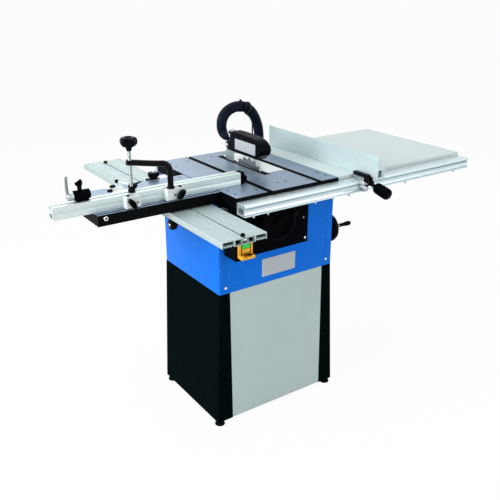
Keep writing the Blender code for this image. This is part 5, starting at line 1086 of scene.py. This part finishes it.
# hold-down: an arm that bends from its post towards the spindle, a threaded spindle and a lobed knob
holdDown = {
    "post": (-0.169, 0.101),
    "spindle": (-0.285, 0.126),
    "low": 0.8540,
    "top": 0.966,
    "rise": 0.012,             # how far the arm climbs towards the spindle
    "bend": 0.026,
    "radius": 0.009,
    "overhang": 0.0110,        # of the arm past the spindle
    "knob": 1.012,
    "spindleEnds": (0.9010, 1.0118),
    "collarUp": 0.8870,
    "footUp": 0.8895,
    "threadPitch": 0.0020,
    "threadDepth": 0.0004,
    "threadRadius": 0.0050,
    "collar": [(0.0088, 0.0062), (0.0112, 0.0062), (0.0120, 0.0050), (0.0120, 0.0008), (0.0110, 0), (0.0088, 0),
               (0.0088, 0.0062)],
    "nut": [(0.0052, 0.0022), (0.0075, 0.0020), (0.0080, 0.0008), (0.0080, -0.0008), (0.0052, -0.0008),
            (0.0052, 0.0022)],
    "foot": [(0, 0.0175), (0.0052, 0.0175), (0.0060, 0.0150), (0.0082, 0.0125), (0.0104, 0.0052), (0.0108, 0.0015),
             (0.0100, 0), (0, 0)],
    "knobProfile": [(0, 0.0335), (0.0060, 0.0335), (0.0078, 0.0345), (0.0100, 0.0395), (0.0165, 0.0408),
                    (0.0240, 0.0370), (0.0264, 0.0300), (0.0255, 0.0210), (0.0200, 0.0150), (0.0105, 0.0110),
                    (0.0078, 0.0050), (0.0074, 0), (0, 0)],
}
post, spin = np.array(holdDown["post"]), np.array(holdDown["spindle"])
toward, reach = unit(spin - post), np.linalg.norm(spin - post)
turn = np.linspace(0, np.pi / 2, 24)[:, None]
bend = np.concatenate([post + toward * holdDown["bend"] * (1 - np.cos(turn)),
                       holdDown["top"] - holdDown["bend"] * (1 - np.sin(turn))], 1)
heights = np.linspace(holdDown["low"], holdDown["top"] - holdDown["bend"], 30)[:-1]
upright = np.stack([np.full(29, post[0]), np.full(29, post[1]), heights], -1)
level = np.linspace(holdDown["bend"], reach + holdDown["overhang"], 40)[1:, None]
slope = holdDown["rise"] * ((level - holdDown["bend"]) / (reach - holdDown["bend"])) ** 1.2
arm = np.vstack([upright, bend, np.concatenate([post + toward * level, holdDown["top"] + slope], 1)])
armPiece = tubePiece("holdDownArm", arm, holdDown["radius"], armPaint, "hold_down_arm", 40, 0.35)
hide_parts("hold_down_arm")
turnedPiece("holdDownCollar", holdDown["collar"], (*post, holdDown["collarUp"]), toTop, armPaint, "hold_down_arm", 48,
            0.0008)
nutUp = holdDown["top"] + holdDown["rise"] + holdDown["radius"] - 0.0006
turnedPiece("holdDownNut", holdDown["nut"], (*spin, nutUp), toTop, plainSteel, "hold_down_arm", 36, 0.0004)
low, high = holdDown["spindleEnds"]
rows, columns = 520, 28
run = np.linspace(0, high - low, rows)[:, None]
angle = np.linspace(0, 2 * np.pi, columns, endpoint=False)[None, :]
fade = np.clip(np.minimum(run, high - low - run) / 0.003, 0, 1)       # the thread runs out at both ends
wave = 0.5 + 0.5 * np.cos(2 * np.pi * run / holdDown["threadPitch"] - angle)
radius = holdDown["threadRadius"] - holdDown["threadDepth"] * wave * fade
spindlePoints = np.stack([spin[0] + radius * np.cos(angle), spin[1] + radius * np.sin(angle),
                          low + run + 0 * angle], -1)
spindle = makePiece("holdDownSpindle", spindlePoints.reshape(-1, 3), cappedFaces(rows, columns), spindleSteel,
                    "hold_down_spindle", 80)
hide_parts("hold_down_spindle")
turnedPiece("holdDownFoot", holdDown["foot"], (*spin, holdDown["footUp"]), toTop, footRubber, "hold_down_spindle", 48,
            0.0012)
holdKnob = turnedPiece("holdDownKnob", holdDown["knobProfile"], (*spin, holdDown["knob"]), toTop, knobPlastic,
                       "hold_down_knob", 110, 0.0022,
                       lambda angle, height: -0.13 * lobes(angle - np.radians(20), 5, np.pi) ** 1.5
                       * np.clip((height - 0.011) / 0.008, 0, 1))
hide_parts("hold_down_knob")
print("hold-down made")

# rip fence carrier: a foot on the rail, two rails of a fork with bridges between them, jaw and silver block
carrier = {
    "arm": (0.4815, 0.4962),
    "front": -0.0620,           # of the fork
    "rear": 0.0060,
    "low": 0.8508,
    "high": 0.8605,
    "slot": 0.0028,
    "bridges": (-0.058, -0.029, 0.001),
    "foot": ((0.4735, -0.0620), -0.0010),
    "pin": np.array((0.487, -0.072, 0.834)),
    "cheeks": (0.4745, 0.4955),
    "webHalf": 0.0028,
    "jaw": ((0.4735, 0.8030), (0.4925, 0.8378)),
    "jawDepth": (-0.0620, -0.0466),
    "silver": ((0.4650, 0.8170), (0.4795, 0.8400)),
    "silverDepth": (-0.0680, -0.0475),
}
fenceLow, fenceHigh = nodeBox("rip_fence")
foot = prismPiece("fenceCarrierFoot", block(carrier["foot"][0], (fenceHigh[0], carrier["foot"][1]), 0.002),
                  railHigh[2] + 0.0006, fenceLow[2] - 0.0002, "Z", plainSteel, "rip_fence", 0.0008)
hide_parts("fence_carrier")
left, right = carrier["arm"]
middle = (left + right) / 2
for k, (a, b) in enumerate(((left, middle - carrier["slot"] / 2), (middle + carrier["slot"] / 2, right))):
    prismPiece(f"fenceCarrierRail{k}", block((a, carrier["front"]), (b, carrier["rear"]), 0.0015), carrier["low"],
               carrier["high"], "Z", armPaint, "rip_fence", 0.0012)
for k, y in enumerate(carrier["bridges"]):
    prismPiece(f"fenceCarrierBridge{k}", block((left + 0.001, y - 0.006), (right - 0.001, y + 0.006), 0.001),
               carrier["low"], carrier["high"] - 0.0012, "Z", armPaint, "rip_fence", 0.0008)
prismPiece("fenceCarrierJaw", block(*carrier["jaw"], 0.0015), *carrier["jawDepth"], "Y", plainSteel, "rip_fence",
           0.0012)
prismPiece("fenceSilverBlock", block(*carrier["silver"], 0.0030), *carrier["silverDepth"], "Y", chrome, "rip_fence",
           0.0022, 4)
_, pinY, pinZ = carrier["pin"]
cheekProfile = [(0.0035, 0.0030), (0.0095, 0.0030), (0.0105, 0.0020), (0.0105, -0.0020), (0.0095, -0.0030),
                (0.0035, -0.0030), (0.0035, 0.0030)]
webLoop = fillet([(pinY - 0.004, pinZ - 0.002), (pinY + 0.014, pinZ - 0.006), (pinY + 0.014, carrier["low"] + 0.004),
                  (pinY - 0.002, carrier["low"] + 0.003)], 0.0025)
for k, x in enumerate(carrier["cheeks"]):
    turnedPiece(f"fenceKnuckleCheek{k}", cheekProfile, (x, pinY, pinZ), toRight, armPaint, "rip_fence", 44, 0.0008)
    prismPiece(f"fenceKnuckleWeb{k}", webLoop, x - carrier["webHalf"], x + carrier["webHalf"], "X", armPaint,
               "rip_fence", 0.0010)

# its lever: hub on a pin, neck, ribbed grip and end cap, all drooping by the angle in degrees
lever = {
    "droop": 12.0,
    "gripOut": 0.0285,       # along the lever, from its pin
    "capOut": 0.0924,
    "hub": [(0, 0.0072), (0.0078, 0.0072), (0.0086, 0.0062), (0.0086, -0.0062), (0.0078, -0.0072), (0, -0.0072)],
    "pin": [(0, 0.0165), (0.0022, 0.0165), (0.0030, 0.0155), (0.0030, -0.0155), (0.0022, -0.0165), (0, -0.0165)],
    "neck": [(0, 0.0260), (0.0062, 0.0260), (0.0066, 0.0060), (0.0060, 0.0010), (0, 0.0010)],
    "grip": [(0, 0.0640), (0.0105, 0.0640), (0.0160, 0.0626), (0.0188, 0.0580), (0.0194, 0.0520), (0.0188, 0.0120),
             (0.0170, 0.0060), (0.0125, 0.0012), (0.0080, 0), (0, 0)],
    "cap": [(0, 0.0008), (0.0072, 0.0008), (0.0080, 0), (0, 0)],
}
droop = math.radians(lever["droop"])
away = np.array((0, -math.cos(droop), -math.sin(droop)))
leverHub = turnedPiece("fenceLeverHub", lever["hub"], carrier["pin"], toRight, knobPlastic, "fence_lever", 44, 0.0008)
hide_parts("fence_lever")
turnedPiece("fenceLeverPin", lever["pin"], carrier["pin"], toRight, whiteCasting, "fence_lever", 28, 0.0006)
turnedPiece("fenceLeverNeck", lever["neck"], carrier["pin"], away, knobPlastic, "fence_lever", 36, 0.0012)
gripPlace, capPlace = carrier["pin"] + away * lever["gripOut"], carrier["pin"] + away * lever["capOut"]
turnedPiece("fenceLeverGrip", lever["grip"], gripPlace, away, blackPlastic, "fence_lever", 144,
            0.0012, lambda angle, height: -0.055 * lobes(angle, 24)
            * np.clip(np.minimum(height - 0.004, 0.060 - height) / 0.004, 0, 1))
turnedPiece("fenceLeverEndCap", lever["cap"], capPlace, away, knobPlastic, "fence_lever", 40,
            0.0003)
print("rip fence made")

# switch
for node, finish, steps in (("switch_box", blackPlastic, 2), ("switch_frame", yellowPlastic, 3),
                            ("start_button", greenPlastic, 3), ("stop_button", yellowPlastic, 3)):
    easedNode(node, finish, 0.0009, steps)
switch = {"insetLow": (0.0015, 0.6700), "insetHigh": (0.0395, 0.7262), "insetDepth": (-0.0218, -0.0148),
          "screws": (0.6520, 0.7400), "screwsAcross": 0.0560}
prismPiece("switchInset", block(switch["insetLow"], switch["insetHigh"], 0.002), *switch["insetDepth"], "Y",
           blackPlastic, "saw", 0.0008)
switchFront = nodeBox("switch_box")[0][1]
for i, z in enumerate(switch["screws"]):
    screwHead(f"switchScrew{i}", (switch["screwsAcross"], switchFront, z), toFront, 0.0026, "saw", plainSteel, 0.0010)


# a dished wheel: hub, sloped web with a ring of shallow ribs, and a deep round rim
def handwheel(name, node, centre, direction, radius, shaft, body, finish):
    profile = [(0, 0.0270), (0.0095, 0.0270), (0.0125, 0.0262), (0.0150, 0.0230), (0.0165, 0.0135),
               (radius * 0.45, 0.0105), (radius - 0.0190, 0.0125), (radius - 0.0150, 0.0205), (radius - 0.0085, 0.0248),
               (radius - 0.0025, 0.0218), (radius, 0.0140), (radius - 0.0015, 0.0065), (radius - 0.0080, 0.0025),
               (radius - 0.0150, 0.0050), (radius * 0.55, 0.0042), (0.0165, 0.0040), (0.0145, 0), (0.0080, 0),
               (0.0080, -shaft), (0, -shaft)]
    wheel = turnedPiece(name, profile, centre, direction, finish, body, 120, 0.0022,
                        lambda angle, height: -0.012 * lobes(angle, 10) * (height > 0.004))
    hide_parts(node)
    turnedPiece(name + "Cap", [(0, 0.0012), (0.0060, 0.0010), (0.0072, 0), (0.0072, -0.002), (0, -0.002)],
                np.array(centre) + 0.0268 * np.array(direction), direction, finish, body, 36, 0.0005)


# handwheels and their grips
wheels = {
    "heightPlace": (0.180, 0.040, 0.735),
    "heightRadius": 0.0700,
    "heightShaft": 0.034,
    "heightGrip": (0.044, -0.0205, 0.024),      # from the wheel's centre
    "tiltPlace": (0.454, 0.105, 0.628),
    "tiltRadius": 0.0535,
    "tiltShaft": 0.030,
    "tiltGrip": (0.4765, 0.063, 0.6432),
}
tiltGripProfile = [(0, 0.0595), (0.0040, 0.0595), (0.0070, 0.0575), (0.0084, 0.0530), (0.0083, 0.0420),
                   (0.0066, 0.0250), (0.0062, 0.0140), (0.0072, 0.0040), (0.0066, 0.0030), (0.0029, 0.0028),
                   (0.0029, -0.0098), (0, -0.0098)]
gripCollarProfile = [(0.0032, 0.0030), (0.0058, 0.0030), (0.0064, 0.0022), (0.0064, 0.0002), (0.0032, 0.0002),
                     (0.0032, 0.0030)]
heightGripProfile = [(0, 0.0300), (0.0045, 0.0300), (0.0078, 0.0270), (0.0086, 0.0190), (0.0072, 0.0080),
                     (0.0060, 0.0020), (0.0050, 0), (0, 0)]
handwheel("heightWheel", "height_wheel", wheels["heightPlace"], toFront, wheels["heightRadius"], wheels["heightShaft"],
          "height_wheel", blackPlastic)
handwheel("tiltWheel", "tilt_wheel", wheels["tiltPlace"], toRight, wheels["tiltRadius"], wheels["tiltShaft"],
          "tilt_wheel", knobPlastic)
grip = turnedPiece("tiltGrip", tiltGripProfile, wheels["tiltGrip"], toRight, knobPlastic, "tilt_grip", 56, 0.0022)
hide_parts("tilt_grip")
turnedPiece("tiltGripCollar", gripCollarProfile, wheels["tiltGrip"], toRight, chrome, "tilt_grip", 36, 0.0004)
turnedPiece("heightWheelGrip", heightGripProfile, np.add(wheels["heightPlace"], wheels["heightGrip"]), toFront,
            knobPlastic, "height_wheel", 44, 0.0020)
print("switch and wheels made")

# motor: cooling fins round its body, and three standoffs that hold it
motor = {
    "place": (0.302, 0.240, 0.6585),
    "fins": 40,
    "profile": [(0, 0.132), (0.040, 0.132), (0.052, 0.130), (0.0560, 0.124), (0.0560, 0.104), (0.0590, 0.102),
                (0.0600, 0.100), (0.0600, 0.012), (0.0585, 0.010), (0.0540, 0.008), (0.0520, 0.001), (0.0500, 0),
                (0, 0)],
    "standoffs": (160, 270, 380),      # degrees round the motor's axis
    "standoffRadius": 0.050,
    "standoffLow": 0.045,              # of the lowest one
    "standoffLeft": 0.280,
}
motorBody = turnedPiece("motorBody", motor["profile"], motor["place"], toRight, motorPaint, "lift_unit", 240, 0.0016,
                        lambda angle, height: -0.055 * lobes(angle, motor["fins"]) ** 0.6 * (height > 0.011)
                        * (height < 0.101))
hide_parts("motor")
for i, degrees in enumerate(motor["standoffs"]):
    turn = math.radians(degrees)
    y = motor["place"][1] + motor["standoffRadius"] * math.cos(turn)
    z = motor["place"][2] + (-motor["standoffLow"] if degrees == 270 else motor["standoffRadius"] * math.sin(turn))
    turnedPiece(f"motorStandoff{i}", [(0, 0.0255), (0.0060, 0.0255), (0.0060, 0.0004), (0, 0.0004)],
                (motor["standoffLeft"], y, z), toRight, plainSteel, "lift_unit", 32, 0.0008)
paintNode("arbor_shaft", plainSteel)
paintNode("motor_pulley", plainSteel)
paintNode("drive_belt", beltRubber)

# blade, knife and the blade's hard tips: a small leaning box at each tooth
easedNode("saw_blade", bladeSteel, 0.00025, 1)
easedNode("riving_knife", knifeSteel, 0.0004)
blade = {"x": 0.240, "y": 0.286, "z": 0.7565, "radius": 0.125, "teeth": 24, "tipHalf": 0.0018}
turn = 2 * np.pi * np.arange(blade["teeth"]) / blade["teeth"]
outward, onward = np.stack([np.cos(turn), np.sin(turn)], -1), np.stack([-np.sin(turn), np.cos(turn)], -1)
tipCorners = ((-0.0065, -0.0010), (-0.0002, -0.0006), (-0.0006, 0.0021), (-0.0060, 0.0016))      # outward, onward
tip = np.stack([outward * (blade["radius"] + far) + onward * along for far, along in tipCorners], 1)
tip = tip + np.array((blade["y"], blade["z"]))
tips = np.stack([np.concatenate([np.full((*tip.shape[:2], 1), blade["x"] + side), tip], -1)
                 for side in (-blade["tipHalf"], blade["tipHalf"])], 1)
boxFaces = np.array([[0, 1, 2, 3], [7, 6, 5, 4], [0, 4, 5, 1], [1, 5, 6, 2], [2, 6, 7, 3], [3, 7, 4, 0]])[None]
start = (np.arange(blade["teeth"]) * 8)[:, None, None]
makePiece("bladeCarbideTips", tips.reshape(-1, 3), (start + boxFaces).reshape(-1, 4).tolist(), darkIron, "arbor")
print("saw unit made")

# guard: hood, port for the hose and a lip along its lower edge; its outline is (y, z) with a radius at each corner
hood = {
    "left": 0.217,
    "right": 0.263,
    "edge": 0.0070,
    "outline": [(0.4068, 0.8965), (0.4068, 0.9230), (0.3790, 0.9260), (0.3740, 0.9640), (0.3300, 0.9655),
                (0.2500, 0.9640), (0.2050, 0.9585), (0.1780, 0.9380), (0.1800, 0.9120), (0.2080, 0.8950),
                (0.3000, 0.8942)],
    "rounding": (0.0125, 0.0125, 0.006, 0.012, 0.02, 0.03, 0.016, 0.012, 0.012, 0.014, 0.02),
    "port": [(0, 0.0272), (0.0130, 0.0272), (0.0158, 0.0268), (0.0158, 0.0060), (0.0175, 0.0020), (0.0175, -0.0060),
             (0, -0.0060)],
    "portPlace": (0.240, 0.3605, 0.9455),
    "lip": ((0.2060, 0.8936), (0.3900, 0.8990)),
    "lipInset": 0.0012,
    "pivot": np.array((0.240, 0.393, 0.909)),
}
hoodLoop = fillet(hood["outline"], hood["rounding"], steps=7)
hoodPiece = prismPiece("guardHood", hoodLoop, hood["left"], hood["right"], "X", guardPlastic, "guard", hood["edge"], 7)
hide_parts("guard_hood")
turnedPiece("guardPort", hood["port"], hood["portPlace"], toRear, guardPlastic, "guard", 64, 0.0008)
prismPiece("guardLip", block(*hood["lip"], 0.0015), hood["left"] + hood["lipInset"], hood["right"] - hood["lipInset"],
           "X", guardPlastic, "guard", 0.0008)
for k, side in enumerate((-1, 1)):
    headPlace, washerPlace = (hood["pivot"] + np.array((side * out, 0, 0)) for out in (0.0233, 0.0231))
    screwHead(f"guardPivotHead{k}", headPlace, (side, 0, 0), 0.0070, "lift_unit", chrome, 0.0044, 0.4)
    turnedPiece(f"guardPivotWasher{k}", [(0, 0.0008), (0.0088, 0.0008), (0.0092, 0.0003), (0.0092, 0), (0, 0)],
                washerPlace, (side, 0, 0), plainSteel, "lift_unit", 36, 0.0002)

# hose clamp on the port: a band with a raised edge at both sides, cross slots round it, housing and screw
ring = {
    "place": (0.240, 0.3800, 0.9455),
    "inside": 0.0158,
    "outside": 0.0188,
    "half": 0.0045,
    "sunk": 0.0004,
    "housing": [(0.2200, 0.9520), (0.2280, 0.9640), (0.2350, 0.9680), (0.2290, 0.9740), (0.2160, 0.9640),
                (0.2150, 0.9540)],
    "housingDepth": (0.3762, 0.3838),
    "screw": (0.2165, 0.3800, 0.9600),
    "screwTurn": (-0.8, 0, 0.6),
}
flat = ring["outside"] - ring["sunk"]
bandProfile = [(ring["inside"], ring["half"]), (flat, ring["half"]), (ring["outside"], 0.0026), (flat, 0.0020),
               (flat, -0.0020), (ring["outside"], -0.0026), (flat, -ring["half"]), (ring["inside"], -ring["half"]),
               (ring["inside"], ring["half"])]
turnedPiece("hoseClampBand", bandProfile, ring["place"], toRear, chrome, "guard", 96, 0.0003,
            lambda angle, height: 0.006 * (np.cos(48 * angle) > 0.2))
prismPiece("hoseClampHousing", fillet(ring["housing"], 0.002), *ring["housingDepth"], "Y", chrome, "guard", 0.0010)
screwHead("hoseClampScrew", ring["screw"], ring["screwTurn"], 0.0034, "guard", plainSteel, 0.0040)

# tie round the hose at its arch, with its lug on top, and the fittings at the outlet
hoseFittings = {
    "tieNear": (0.3600, 0.518, 1.0160),
    "tie": [(0.0190, 0.0035), (0.0210, 0.0032), (0.0210, -0.0032), (0.0190, -0.0035), (0.0190, 0.0035)],
    "lug": [(0, 0.0060), (0.0032, 0.0060), (0.0046, 0.0040), (0.0046, 0), (0, 0)],
    "outletBand": [(0.0190, 0.0045), (0.0210, 0.0042), (0.0210, -0.0042), (0.0190, -0.0045), (0.0190, 0.0045)],
    "outletRim": [(0.0468, 0.0005), (0.0515, 0.0005), (0.0525, -0.0010), (0.0525, -0.0060), (0.0500, -0.0075),
                  (0.0468, -0.0075), (0.0468, 0.0005)],
    "lugOut": 0.0204,                    # from the hose's middle
    "outletBandPlace": (0.2960, 0.566, 0.660),
    "outletPlace": (0.200, 0.660),       # across, up
    "outletRimBack": 0.6153,
    "outletScrewsBack": 0.4293,
    "outletScrews": 0.054,               # from its middle, across and up
}
tieAt = int(np.argmin(np.linalg.norm(hosePath - np.array(hoseFittings["tieNear"]), axis=1)))
tieTangent = unit(hosePath[tieAt + 6] - hosePath[tieAt - 6])
turnedPiece("hoseTie", hoseFittings["tie"], hosePath[tieAt], tieTangent, blackPlastic, "saw", 64, 0.0006)
tieSide = unit(np.cross(tieTangent, toTop))
tieUp = np.cross(tieSide, tieTangent)
turnedPiece("hoseTieLug", hoseFittings["lug"], hosePath[tieAt] + tieUp * hoseFittings["lugOut"], tieUp, blackPlastic,
            "saw", 32, 0.0014)
turnedPiece("outletClampBand", hoseFittings["outletBand"], hoseFittings["outletBandPlace"], toRight, chrome, "saw", 72,
            0.0004)
outletX, outletZ = hoseFittings["outletPlace"]
turnedPiece("outletRim", hoseFittings["outletRim"], (outletX, hoseFittings["outletRimBack"], outletZ), toRear,
            blackPlastic, "saw", 96, 0.0008)
for i, (sideways, up) in enumerate(((-1, -1), (1, -1), (1, 1), (-1, 1))):
    x, z = outletX + hoseFittings["outletScrews"] * sideways, outletZ + hoseFittings["outletScrews"] * up
    screwHead(f"outletScrew{i}", (x, hoseFittings["outletScrewsBack"], z), toRear, 0.0036, "saw", plainSteel)
paintNode("hose_rod", darkIron)
print("guard and hose fittings made")

# studio
studio = {
    "floor": (0.94, 0.94, 0.94),
    "half": 60.0,          # of the floor's side
    "world": 0.50,         # light that the room gives
    "share": 0.95,         # how much of the floor that is seen is plain white
    "aim": (0, 0, 0.65),
}


# 1 for the rays that see the background, in the camera, in gloss and through glass, and 0 for those that light
def seenShare(tree):
    rays = tree.nodes.new("ShaderNodeLightPath")
    seen = rays.outputs["Is Camera Ray"]
    for kind in ("Is Glossy Ray", "Is Transmission Ray"):
        larger = tree.nodes.new("ShaderNodeMath")
        larger.operation = "MAXIMUM"
        tree.links.new(seen, larger.inputs[0])
        tree.links.new(rays.outputs[kind], larger.inputs[1])
        seen = larger.outputs[0]
    return seen


# the output's surface: the first shader where the share is 0, the second where it is 1
def mixSurface(tree, share, first, second, output):
    mix = tree.nodes.new("ShaderNodeMixShader")
    tree.links.new(share, mix.inputs["Fac"])
    tree.links.new(first.outputs[0], mix.inputs[1])
    tree.links.new(second.outputs[0], mix.inputs[2])
    tree.links.new(mix.outputs[0], tree.nodes[output].inputs["Surface"])


half = studio["half"]
floorMesh = bpy.data.meshes.new("studioFloor")
floorMesh.from_pydata([(-half, -half, 0), (half, -half, 0), (half, half, 0), (-half, half, 0)], [], [(0, 1, 2, 3)])
floor = bpy.data.objects.new("studioFloor", floorMesh)
bpy.context.scene.collection.objects.link(floor)
floorFinish = bpy.data.materials.new("studioFloorPaper")
floorFinish.use_nodes = True
tree = floorFinish.node_tree
tree.nodes.remove(tree.nodes["Principled BSDF"])
paper = tree.nodes.new("ShaderNodeBsdfDiffuse")
paper.inputs["Color"].default_value = (*studio["floor"], 1)
glow = tree.nodes.new("ShaderNodeEmission")
glow.inputs["Strength"].default_value = 1.0
share = tree.nodes.new("ShaderNodeMath")
share.operation = "MULTIPLY"
share.inputs[1].default_value = studio["share"]
tree.links.new(seenShare(tree), share.inputs[0])
mixSurface(tree, share.outputs[0], paper, glow, "Material Output")
floorMesh.materials.append(floorFinish)

world = bpy.data.worlds.new("studioWorld")
bpy.context.scene.world = world
world.use_nodes = True
room = world.node_tree.nodes["Background"]
white = world.node_tree.nodes.new("ShaderNodeBackground")
for light, strength in ((room, studio["world"]), (white, 1.0)):
    light.inputs["Color"].default_value = (1, 1, 1, 1)
    light.inputs["Strength"].default_value = strength
mixSurface(world.node_tree, seenShare(world.node_tree), room, white, "World Output")

lamps = {
    "keyLamp": {"place": (-3.4, -0.3, 2.0), "size": 1.8, "power": 112},
    "fillLamp": {"place": (1.6, -3.0, 1.9), "size": 2.4, "power": 28},
    "topLamp": {"place": (0.2, 0.6, 3.2), "size": 2.2, "power": 18},
    "backLamp": {"place": (0.6, 3.2, 2.4), "size": 2.2, "power": 12},
}
for name, lamp in lamps.items():
    data = bpy.data.lights.new(name, "AREA")
    data.energy, data.size, data.shape = lamp["power"], lamp["size"], "DISK"
    light = bpy.data.objects.new(name, data)
    light.location = lamp["place"]
    light.rotation_euler = (Vector(studio["aim"]) - Vector(lamp["place"])).to_track_quat("-Z", "Y").to_euler()
    bpy.context.scene.collection.objects.link(light)
bpy.context.scene.view_settings.view_transform = "Standard"
print("studio made")
